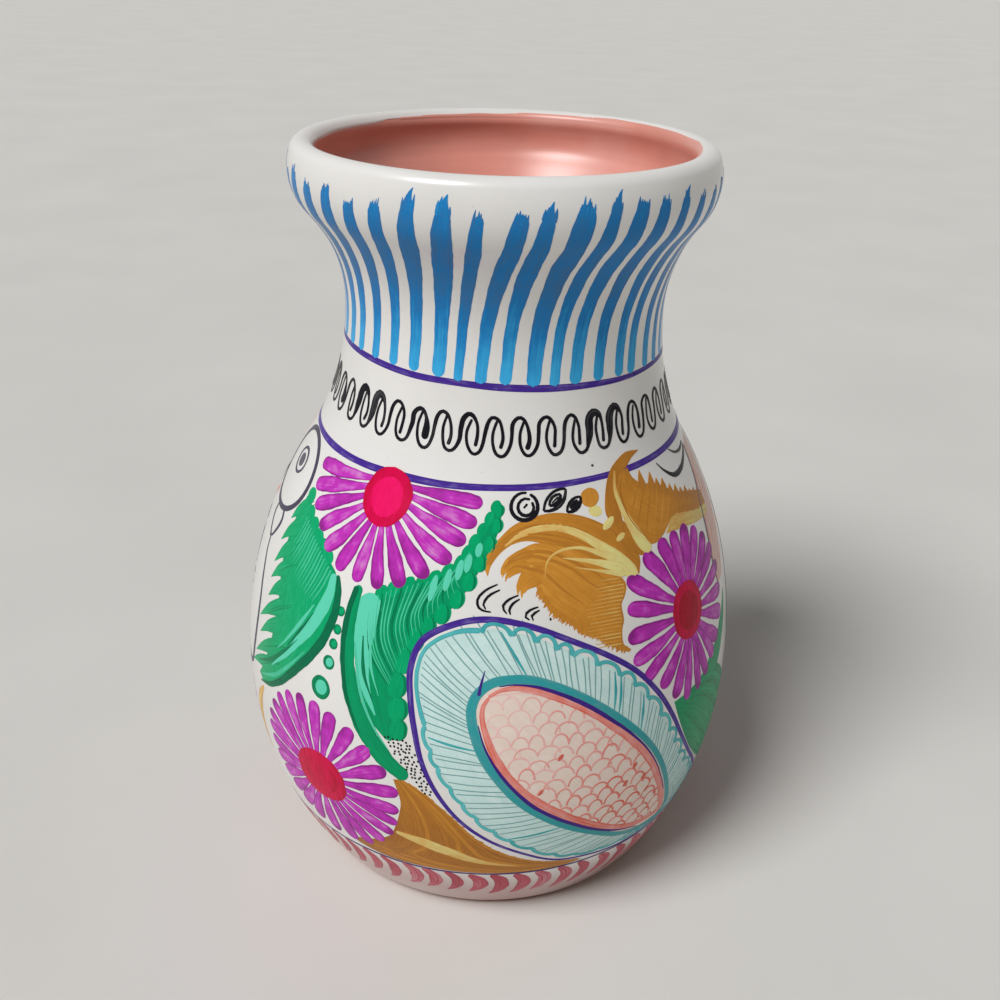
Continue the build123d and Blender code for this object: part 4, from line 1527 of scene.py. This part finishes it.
class OLLA_OT_medallion(OllaOperator, bpy.types.Operator):
    """Paint the scalloped medallion with its hatching and its scaled heart"""

    bl_idname = "olla.medallion"
    bl_label = "Medallion"

    # Matching points on the scalloped line and on the teal band, clockwise from the lower left
    OUTER = (
        (28, 28.6), (19, 31), (11, 36.6), (4, 42.8), (-1.6, 50), (-6.2, 58), (-9.8, 66), (-12, 74),
        (-13.6, 82), (-14.4, 90), (-12.4, 96.8), (-6, 101.2), (1, 102.2), (9, 100.2), (17, 96),
        (25, 90.8), (32, 84.4), (38, 76), (42.6, 67.4), (47, 58), (51.6, 49.6), (57, 42), (61, 35.6),
        (58, 29.8), (48, 27.8), (38, 27.6),
    )
    INNER = (
        (33, 32.8), (26, 38), (19, 43.4), (12.6, 49.2), (7.4, 55.2), (3.2, 62), (0, 68.6), (-2, 75.2),
        (-2.9, 80.4), (-2.7, 83.6), (-1.7, 86.2), (0.6, 88.6), (3.6, 89.6), (8.6, 89.5), (14.6, 87),
        (21, 82.6), (27, 77), (33, 70), (38, 62.6), (42, 54.8), (45.4, 46.6), (48.2, 39), (50, 33.4),
        (49.4, 29.8), (45.6, 28.8), (39.6, 29.8),
    )
    APEX, END = 10.2, 23.6
    OUTLINE_GAP = 2.3
    SPIKE = ((-1.6, 85.6), (-1.2, 88.6), (-0.6, 92))
    # Steps between which every other hatch runs past the scallops, between which there are no scallops,
    # and outside which the scallops are small
    SPRAY, BARE, LARGE = (10.9, 13.0), (7.8, 11.2), (8.5, 23)
    SCALE_ROWS, SCALE_COLUMNS = 19, 15
    SCALE_GAP, SCALE_DROP = 4.0, 3.3
    BLOTS = (
        (15.8, 67.5), (12, 57.5), (31.8, 53.5), (36.8, 53.2), (42.2, 44.2), (33.8, 58.4), (38.6, 47.6),
    )

    def build(self):
        """Washes first, then hatching, bands, scales and the purple outline."""
        purple = paint_look("outline_paint", self.colours.purple, hair=0.35)
        aqua = paint_look("aqua_paint", self.colours.aqua, dark=0.86, light=1.5, hair=0.5, pool=0.6)
        teal = paint_look(
            "teal_paint", self.colours.teal, dark=linear(132, 170, 170), light=linear(112, 208, 208),
            hair=0.25, pool=0.2,
        )
        cream = paint_look("cream_paint", self.colours.cream, dark=0.9, light=1.4, hair=0.4, pool=0.5)
        coral = paint_look("coral_paint", self.colours.coral, dark=0.62, light=1.5, hair=0.35)
        parts = (
            ("medallion_wash", 71, self.wash, aqua),
            ("medallion_teal", 72, self.teal, teal),
            ("medallion_outline", 73, self.outline, purple),
            ("medallion_heart", 74, self.heart, cream),
            ("medallion_scales", 75, self.scales, coral),
        )
        for name, seed, paint, look in parts:
            brush = Brush(self.jar, seed)
            for turn in SIDES:
                brush.turn = turn
                paint(brush)
            brush.lay(name, look)

    def rim(self, brush, step, out):
        """A point on the scalloped line, pushed out from the heart by millimetres."""
        outer = spot_on(self.OUTER, step, True)
        inner = spot_on(self.INNER, step, True)
        run, rise = brush.heading(inner, outer, outer[1])
        return brush.shift(outer, out * run, out * rise)

    def inset(self, brush, step, depth):
        """A point inside the teal band, by millimetres along the band's own normal."""
        back, spot, ahead = through(self.INNER, (step - 0.1, step, step + 0.1), True)
        run, rise = brush.heading(back, ahead, spot[1])
        return brush.shift(spot, depth * rise, -depth * run)

    def insets(self, brush, steps, depth):
        """Points inside the teal band, all at one depth."""
        return [self.inset(brush, step, depth) for step in steps]

    def lean(self, step):
        """How many steps the inner end of a hatch is drawn along the band, away from the tip of the heart."""
        total = len(self.INNER)
        away = (step - self.END) % total + self.END - self.APEX - total
        near = away / 1.3
        return 0.6 * math.sin(math.pi * away / 13) + 0.65 * near * math.exp(0.5 - 0.5 * near * near)

    def wash(self, brush):
        """Thin aqua between the scallops and the band."""
        brush.fill(self.OUTER, self.INNER, WASH, 0.5, columns=7, rows=104, closed=True)

    def teal(self, brush):
        """Hatching, scallops and the broad band."""
        total = len(self.OUTER)
        hatch = self.brushes.hatch_line / MM
        spots = [
            np.linspace(first, last, round(share * self.brushes.hatches), endpoint=False)
            for first, last, share in ((0, 12, 0.42), (12, 22, 0.45), (22, total, 0.13))
        ]
        for k, spot in enumerate(np.concatenate(spots)):
            step = spot + brush.jitter(0.06)
            past = 3.3 if self.SPRAY[0] < step < self.SPRAY[1] and k % 2 else -0.3
            outer = self.rim(brush, step, past + brush.jitter(0.5))
            inner = self.inset(brush, step + self.lean(step) + brush.jitter(0.06), -0.6)
            bow = brush.shift(toward(outer, inner, 0.5), brush.jitter(0.35), brush.jitter(0.35))
            heavy, tone = (2.4, 0.58) if brush.rng.random() < 0.1 else (1.0, 0.12 + brush.jitter(0.1))
            widths = (0.8 * hatch, hatch * heavy, 0.7 * hatch)
            brush.stroke((outer, bow, inner), widths, DETAIL, tone, step=2.5)
        scallops = self.brushes.scallops
        cusps = [total * (k + brush.jitter(0.22)) / scallops for k in range(scallops)]
        cusps = [cusp for cusp in cusps if not self.BARE[0] < cusp < self.BARE[1]]
        for first, last in zip(cusps, [*cusps[1:], cusps[0] + total]):
            swell = 2.2 if self.LARGE[0] <= first <= self.LARGE[1] else 1.1
            swell *= 1 + brush.jitter(0.25)
            arc = []
            for share in np.linspace(0, 1, 8):
                out = swell * (math.sin(math.pi * share) ** 0.6 - 0.45)
                arc.append(self.rim(brush, first + (last - first) * share, out))
            brush.stroke(arc, (1.2, 1, 0.95, 1, 1.3), LINE, 0.68 + brush.jitter(0.08), step=0.7)
        widths = [1.7 + 0.8 * math.exp(-(((step - 9.5) / 5.5) ** 2)) for step in np.linspace(0, total, 27)]
        brush.stroke(self.INNER, widths, LINE - 2.5 * FILM, 0.48, closed=True)

    def outline(self, brush):
        """The purple outline, the two fine lines inside the band and the spike at its tip."""
        line = []
        for step in range(len(self.OUTER)):
            gap = self.OUTLINE_GAP + 1.8 * math.exp(-(((step - 4.4) / 2) ** 2))
            line.append(self.rim(brush, step, gap + brush.jitter(0.12)))
        widths = (0.6, 0.8, 1.1, 1.5, 1.6, 1.5, 1.4, 1.4, 1.2, 1, 0.8, 0.6)
        brush.stroke(line, widths, LINE, 0.5, closed=True)
        upper = self.insets(brush, (11.6, 12.5, 13.5, 14.5, 15.5, 17, 18.5, 20.5), 1.35)
        brush.stroke(upper, (0.2, 0.9, 1.2, 0.9, 0.5, 0.35, 0.3), LINE, 0.3)
        lower = self.insets(brush, (7.4, 6.3, 5, 3.5, 2, 0.5, -1), 1.35)
        brush.stroke(lower, (0.2, 0.8, 1.1, 1.1, 0.9, 0.2), LINE, 0.3)
        brush.stroke(self.SPIKE, (0.9, 0.6, 0.15), TOP, 0.4)

    def heart(self, brush):
        """Cream ground of the heart."""
        upper = self.insets(brush, np.linspace(self.APEX, self.END, 12), 0.9)
        lower = self.insets(brush, np.linspace(self.APEX, self.END - len(self.INNER), 12), 0.9)
        brush.fill(lower, upper, WASH, 0.5, columns=13, rows=34)

    def scales(self, brush):
        """The coral band round the heart, and rows of scales inside it."""
        upper = self.insets(brush, (10.3, 11.8, 13, 14.5, 16, 18, 20, 22, 23.6), 2.4)
        brush.stroke(upper, (0.8, 1.7, 2, 2.1, 2.2, 2.4, 2.2, 2), DETAIL, 0.64)
        lower = self.insets(brush, (10.3, 8.5, 7, 5.5, 4, 2, 0, -2.4), 2.6)
        brush.stroke(lower, (0.8, 1.8, 2.5, 2.9, 2.7, 2.3, 1.8), DETAIL, 0.6)
        for spot in self.BLOTS:
            brush.dab(spot, 2.2, 1.1, DETAIL - 1.25 * FILM, 0.36, 55)
        edge = np.array(self.insets(brush, np.linspace(0, len(self.INNER), 60)[:-1], 2.6))
        for row in range(self.SCALE_ROWS):
            for column in range(self.SCALE_COLUMNS):
                x = -1.0 + self.SCALE_GAP * (column + 0.5 * (row % 2)) + brush.jitter(0.55)
                y = 86.0 - self.SCALE_DROP * row + 0.5 * math.sin(0.9 * column) + brush.jitter(0.45)
                if not inside(edge, (x, y)):
                    continue
                far = min(max((x + (84 - y)) / 75, 0), 1)
                wide, tall = 2.1 + brush.jitter(0.45), 3.2 + brush.jitter(0.4)
                first, last = 176 + brush.jitter(8), 4 + brush.jitter(8)
                arc = oval((x, y - 1.6), wide, tall, first, last, 6)
                arc = [spot for spot in arc if inside(edge, spot)]
                if len(arc) < 3:
                    continue
                line = 0.34 + 0.22 * far + brush.jitter(0.07)
                tone = 0.95 - 0.4 * far + brush.jitter(0.1)
                brush.stroke(arc, (0.8 * line, line, 1.1 * line), DETAIL - 2.5 * FILM, tone, step=0.9)


class OLLA_OT_bird(OllaOperator, bpy.types.Operator):
    """Paint the white bird at the side of the belly"""

    bl_idname = "olla.bird"
    bl_label = "Bird"

    HEAD, HEAD_SIZE = (-74.6, 121.9), (13.4, 11.2)
    EYE, EYE_SIZE = (-74, 124.4), (4.2, 3.4)
    BREAST = (
        (-71.6, 102.4), (-71, 98.6), (-69, 93), (-67, 85), (-67.2, 75.5), (-70.2, 64.4), (-76, 60.8),
        (-83.6, 61.4), (-90, 64.4), (-95.2, 69.4), (-98.2, 75),
    )
    BACK = ((-87.2, 117.4), (-91.4, 111.8), (-94.2, 106), (-95.4, 99))
    BEAK = (
        (-69.5, 112), (-67.8, 109), (-69, 105.4), (-71.8, 102.2), (-74.4, 104.4), (-76, 107.6),
        (-75, 111.2),
    )
    WING_TOP = ((-86.6, 99.6), (-90, 101.2), (-93.4, 97.8), (-95.8, 90), (-97.6, 80.8), (-98.8, 71))
    WING_LOW = ((-85.2, 97), (-86.2, 90), (-88, 83.4), (-90.6, 77.8), (-94, 73.6), (-98.4, 70.2))
    TAIL_LEFT = (
        (-102.6, 130.8), (-106.2, 122.8), (-109.8, 116.2), (-111.4, 109), (-112.4, 101), (-111, 93),
    )
    TAIL_RIGHT = ((-93, 132), (-94.4, 124), (-96.4, 116), (-99, 109), (-102.2, 101.5), (-106, 93))

    def build(self):
        """Slate outlines, a scaled wing, a necklace and light coral tail feathers."""
        lines, wing, tail = Brush(self.jar, 81), Brush(self.jar, 83), Brush(self.jar, 82)
        for turn in SIDES:
            lines.turn = wing.turn = tail.turn = turn
            self.head_and_body(lines)
            self.wing(wing, lines)
            self.tail(tail, lines)
        lines.lay("bird_lines", paint_look("slate_paint", self.colours.slate, dark=0.6, light=1.2))
        look = paint_look(
            "wing_paint", self.colours.teal, dark=self.colours.purple, light=self.colours.aqua, hair=0.3
        )
        wing.lay("bird_wing", look)
        look = paint_look("bird_coral_paint", self.colours.coral, dark=0.7, light=linear(238, 220, 208))
        tail.lay("bird_coral", look)

    def head_and_body(self, lines):
        """The head with its ringed eye, the bowed beak, the breast and the back."""
        lines.stroke(oval(self.HEAD, *self.HEAD_SIZE), 1.5, LINE, 0.45, closed=True)
        lines.stroke(oval(self.EYE, *self.EYE_SIZE), 0.8, LINE, 0.5, closed=True)
        lines.dab(self.EYE, 3.8, 4.2, DETAIL, 0.6)
        lines.stroke(self.BEAK, (0.8, 1.2, 1, 0.6, 0.8, 0.9, 0.6), LINE, 0.45)
        lines.stroke(self.BREAST, (0.6, 1.1, 1.4, 1.5, 1.4, 1.2, 0.5), LINE, 0.45)
        lines.stroke(self.BACK, (0.6, 1.3, 1.4, 0.6), LINE, 0.45)
        lines.dab((-72.4, 102.3), 1.3, 1.1, LINE, 0.4)
        for row in range(5):
            for column in range(2):
                spot = (-83.0 - 2.6 * column - 0.9 * row, 85.0 - 4.2 * row + 2.0 * column)
                lines.stroke(oval(spot, 1.0, 1.5, 200, 340, 5), (0.25, 0.5, 0.25), LINE, 0.55)

    def wing(self, wing, lines):
        """A washed wing with two rows of scales, long feathers and an outline."""
        wing.fill(self.WING_LOW, self.WING_TOP, COAT, (0.78, 0.84, 0.9), columns=11, rows=26)
        for row, (step, scales, size) in enumerate(((0.55, 4, 1.7), (1.35, 5, 2.1))):
            low, top = (spot_on(side, step) for side in (self.WING_LOW, self.WING_TOP))
            for k in range(scales):
                spot = toward(low, top, (k + 0.5) / scales)
                scale = oval(spot, size, 1.2 * size, 170, 350, 7)
                wing.stroke(scale, (0.4, 0.8, 0.4), LINE, 0.3 + 0.2 * row)
        for k in range(8):
            share = (k + 0.6) / 8.4
            line = between(self.WING_LOW[2:], self.WING_TOP[2:], share)
            wing.stroke(line, (0.7, 1.5, 1.2, 0.2), DETAIL, (0.28, 0.56)[k % 2])
        lines.stroke(self.WING_TOP, (0.5, 1.1, 1.1, 0.5), TOP, 0.45)
        lines.stroke(self.WING_LOW, (0.5, 1, 1, 0.5), TOP, 0.45)

    def tail(self, tail, lines):
        """Feathers that rise behind the back, and a row of dots round the neck."""
        left, right = self.TAIL_LEFT, self.TAIL_RIGHT
        tail.fill(left, right, WASH, (0.9, 0.87, 0.84), columns=9, rows=30)
        lines.stroke(left, (0.3, 0.6, 0.7, 0.6, 0.3), LINE, 0.7)
        for k in range(5):
            feather = between(left, right, (k + 0.5) / 5)
            tail.stroke(feather, (0.3, 0.9, 1, 0.3), COAT, 0.76 + tail.jitter(0.05))
        for k in range(6):
            spot = toward((-86, 109.4), (-96, 104.4), k / 5)
            tail.dab(tail.shift(spot, 0, -1.6 * math.sin(math.pi * k / 5)), 2.2, 2.0, COAT, 0.5)


class OLLA_OT_pen_marks(OllaOperator, bpy.types.Operator):
    """Draw the small black loops, crescents and dots between the motifs"""

    bl_idname = "olla.pen_marks"
    bl_label = "Pen marks"

    CRESCENTS = (
        ((1.2, 112.8), (-1.2, 111.5), (-3, 109.5), (-3, 107.5), (-1.8, 106.5), (0, 106.2)),
        ((1.8, 111.5), (-0.5, 110.2), (-1.8, 108.2), (-1.2, 106.8)),
        ((6, 110.2), (3.8, 109.2), (2.5, 107.5), (3.5, 105.8)),
        ((6.3, 109.3), (4.8, 108.3), (4, 106.8), (4.3, 105.6)),
        ((10.5, 107.2), (8.5, 106.5), (7.5, 105.2), (8.5, 104.2)),
        ((10.8, 106.4), (9.5, 105.7), (8.9, 104.8), (9.4, 104)),
    )
    # Rings: centre, half sizes, first and last angle, points, growth, widths as shares of the pen line
    RINGS = (
        ((7.5, 130.9), 3.7, 3.3, 80, 425, 12, 0.96, (1, 1.7, 1.9, 1.3)),
        ((7.9, 130.7), 2.3, 2.1, 60, 400, 10, 0.9, (1, 1.6, 1.2)),
    )
    # Leaf loops: foot, tip, half width
    LOOPS = (((12.6, 129.6), (19.4, 134.4), 1.75), ((19, 128.8), (23.6, 132), 1.2))
    # Bowed lines: chart points, and widths as shares of the pen line
    SMILES = (
        (((54, 133.8), (57, 130.8), (61.5, 128.2), (67.2, 128.3), (73, 129.8), (77.2, 131.5)),
         (0.5, 1.4, 2.7, 2.4, 1.6, 1)),
        (((63.2, 134.8), (66.8, 132.8), (71.2, 131.9), (77, 132.4)), (0.5, 1.3, 1.6, 1)),
    )

    def build(self):
        """Everything is drawn with one fine brush."""
        brush = Brush(self.jar, 91)
        pen = self.brushes.pen_line / MM
        for turn in SIDES:
            brush.turn = turn
            for *ring, press in self.RINGS:
                brush.stroke(oval(*ring), [share * pen for share in press], LINE, 0.45)
            brush.stroke(((7.2, 130.5), (8.3, 131.5)), (0.8 * pen, 1.1 * pen), LINE, 0.4)
            for loop in self.LOOPS:
                self.leaf_loop(brush, *loop, pen)
            for arc in self.CRESCENTS:
                brush.stroke(arc, (0.6 * pen, 1.1 * pen, 1.2 * pen, 0.6 * pen), LINE, 0.45)
            brush.dab((13.2, 104), 0.7, 0.5, LINE, 0.5)
            brush.dab((28.6, 138.8), 0.6, 0.7, LINE, 0.7)
            for line, press in self.SMILES:
                brush.stroke(line, [share * pen for share in press], LINE, 0.6)
            self.stipple(brush)
        brush.lay("pen_marks", paint_look("pen_paint", self.colours.black, dark=0.5, light=1.15))

    @staticmethod
    def leaf_loop(brush, foot, tip, belly, pen):
        """A small pointed leaf drawn as two loops with a vein."""
        for size in (1, 0.52):
            start, end = toward(foot, tip, 0.5 - size / 2), toward(foot, tip, 0.5 + size / 2)
            for side, press in ((1, 1.3), (-1, 1.8)):
                line = [start]
                for share, out in ((0.22, 0.72), (0.5, 1), (0.78, 0.72)):
                    off = side * out * belly * size
                    line.append(brush.shift(toward(start, end, share), -0.6 * off, 0.8 * off))
                brush.stroke([*line, end], (pen, press * pen, press * pen, pen), LINE, 0.45)
        brush.stroke((toward(foot, tip, 0.36), toward(foot, tip, 0.64)), (0.6 * pen, 0.9 * pen), LINE, 0.45)

    @staticmethod
    def stipple(brush):
        """Dots that thin out down the gap between the ribbed leaf and the medallion."""
        for row in range(15):
            left, right = -20.6 + 0.62 * row, -14.8 + 0.36 * row
            dots = max(2, round((right - left) / 0.9))
            for k in range(dots):
                x = left + (right - left) * (k + 0.5 * (row % 2)) / dots + brush.jitter(0.25)
                y = 70.8 - 1.05 * row + brush.jitter(0.3)
                brush.dab((x, y), 0.62, 0.55, LINE, 0.45)


class OLLA_OT_foot_strokes(OllaOperator, bpy.types.Operator):
    """Paint the row of rose crescents round the foot"""

    bl_idname = "olla.foot_strokes"
    bl_label = "Foot strokes"

    TOP_EDGE, LOW_EDGE = 24.2, 11.4
    WIDTHS = (1.6, 3.3, 3.7, 2.5, 0.4)

    def build(self):
        """Crescents like closing brackets, heavy in the middle."""
        brush = Brush(self.jar, 101)
        gap = 360 / self.brushes.foot_strokes
        for k in range(self.brushes.foot_strokes):
            x = gap * k + brush.jitter(0.4) - 1.0
            top, low = self.TOP_EDGE + brush.jitter(0.4), self.LOW_EDGE + brush.jitter(0.9)
            line = (
                (x - 1.8, top), (x + 0.5, top - 3.2), (x + 0.9, 17.6), (x - 0.2, low + 2.6), (x - 2.2, low),
            )
            full = 1 + brush.jitter(0.12)
            widths = [full * width for width in self.WIDTHS]
            brush.stroke(line, widths, COAT, 0.5 + brush.jitter(0.12))
        look = paint_look("rose_paint", self.colours.rose, dark=0.6, light=1.4, hair=0.6)
        brush.lay("foot_strokes", look)


class OLLA_OT_stage(OllaOperator, bpy.types.Operator):
    """Set the pale floor, the soft lights and the camera"""

    bl_idname = "olla.stage"
    bl_label = "Stage"

    CAMERA_SPOT = (0, -286.7, 244.2)
    CAMERA_PITCH = 26.65
    CAMERA_ROLL = 1.65
    SENSOR = 36.0
    LENS = 40.955
    SHIFT = 0.0051
    FLOOR_HALF = 6000.0
    SUN_FROM = (-0.46, -0.44, 0.77)
    SUN_SPREAD = 26.0
    SUN_STRENGTH = 2.6
    WORLD_LIGHT = 0.235
    BACKDROP = 0.9

    def build(self):
        """Floor, lights, world and camera."""
        self.add_floor()
        self.add_sun()
        self.add_world()
        self.add_camera()
        bpy.context.scene.view_settings.view_transform = "Standard"

    def add_floor(self):
        """A wide pale floor with a faint mottle."""
        look = Look("stage_floor", specular_ior_level=0.2)
        spot = look.position()
        mottle = look.noise(spot, scale=0.01, detail=3)
        pale = tuple(self.colours.floor)
        base = look.ramp(mottle, (0.3, shaded(pale, 0.95)), (0.7, pale))
        look.surface(base, 0.7 + (mottle - 0.5) * 0.2)
        half = self.FLOOR_HALF * MM
        mesh = bpy.data.meshes.new("stage_floor")
        corners = [(-half, -half, 0), (half, -half, 0), (half, half, 0), (-half, half, 0)]
        mesh.from_pydata(corners, [], [(0, 1, 2, 3)])
        mesh.materials.append(look.material)
        floor = add_object("stage_floor", mesh)

    def add_sun(self):
        """One broad soft light from the upper left, as even on the floor as on the jar."""
        data = bpy.data.lights.new("soft_daylight", "SUN")
        data.angle = self.SUN_SPREAD * DEGREE
        data.energy = self.SUN_STRENGTH
        lamp = add_object("soft_daylight", data)
        lamp.matrix_world = Vector(self.SUN_FROM).to_track_quat("Z", "Y").to_matrix().to_4x4()

    def add_world(self):
        """Even light from all round, and a pale background where it is seen or mirrored."""
        world = bpy.data.worlds.new("studio")
        bpy.context.scene.world = world
        world.use_nodes = True
        sky = Nodes(world.node_tree)
        rays = sky.node("ShaderNodeLightPath", {}, {})
        kinds = ("Is Camera Ray", "Is Glossy Ray", "Is Transmission Ray")
        seen = sum(Term(sky, rays.outputs[kind]) for kind in kinds)
        background = sky.tree.nodes["Background"]
        sky.feed(background.inputs["Color"], tuple(self.colours.floor))
        sky.feed(background.inputs["Strength"], self.WORLD_LIGHT + seen * (self.BACKDROP - self.WORLD_LIGHT))

    def add_camera(self):
        """The camera stands in front of the jar and looks down on it."""
        data = bpy.data.cameras.new("photo_camera")
        data.sensor_width = self.SENSOR
        data.lens = self.LENS
        data.shift_x = self.SHIFT
        data.clip_start = 10 * MM
        camera = add_object("photo_camera", data)
        camera.matrix_world = (
            Matrix.Translation([part * MM for part in self.CAMERA_SPOT])
            @ Matrix.Rotation((90 - self.CAMERA_PITCH) * DEGREE, 4, "X")
            @ Matrix.Rotation(self.CAMERA_ROLL * DEGREE, 4, "Z")
        )
        bpy.context.scene.camera = camera


OPERATORS = (
    OLLA_OT_clay_rings,
    OLLA_OT_joint_slip,
    OLLA_OT_coats,
    OLLA_OT_ring_lines,
    OLLA_OT_neck_strokes,
    OLLA_OT_scroll_band,
    OLLA_OT_daisies,
    OLLA_OT_green_leaves,
    OLLA_OT_golden_leaves,
    OLLA_OT_medallion,
    OLLA_OT_bird,
    OLLA_OT_pen_marks,
    OLLA_OT_foot_strokes,
    OLLA_OT_stage,
)
SETTINGS = {"olla_sizes": OllaSizes, "olla_brushes": OllaBrushes, "olla_colours": OllaColours}


class OLLA_PT_panel(bpy.types.Panel):
    """The jar's steps and settings in the sidebar"""

    bl_idname = "OLLA_PT_panel"
    bl_label = "Painted Olla"
    bl_space_type = "VIEW_3D"
    bl_region_type = "UI"
    bl_category = "Olla"

    def draw(self, context):
        """Lists every step, then the settings."""
        layout = self.layout
        for operator in OPERATORS:
            layout.operator(operator.bl_idname)
        for group in SETTINGS:
            box = layout.box()
            settings = getattr(context.scene, group)
            for key in settings.__annotations__:
                box.prop(settings, key)


def register():
    """Registers the settings, the steps and the panel."""
    for kind in (*SETTINGS.values(), *OPERATORS, OLLA_PT_panel):
        bpy.utils.register_class(kind)
    for key, group in SETTINGS.items():
        setattr(bpy.types.Scene, key, bpy.props.PointerProperty(type=group))


def unregister():
    """Takes back what register did."""
    for key in SETTINGS:
        delattr(bpy.types.Scene, key)
    for kind in reversed((*SETTINGS.values(), *OPERATORS, OLLA_PT_panel)):
        bpy.utils.unregister_class(kind)


def main():
    """Builds the jar step by step."""
    register()
    for operator in OPERATORS:
        group, step = operator.bl_idname.split(".")
        getattr(getattr(bpy.ops, group), step)()


if __name__ == "__main__":
    main()
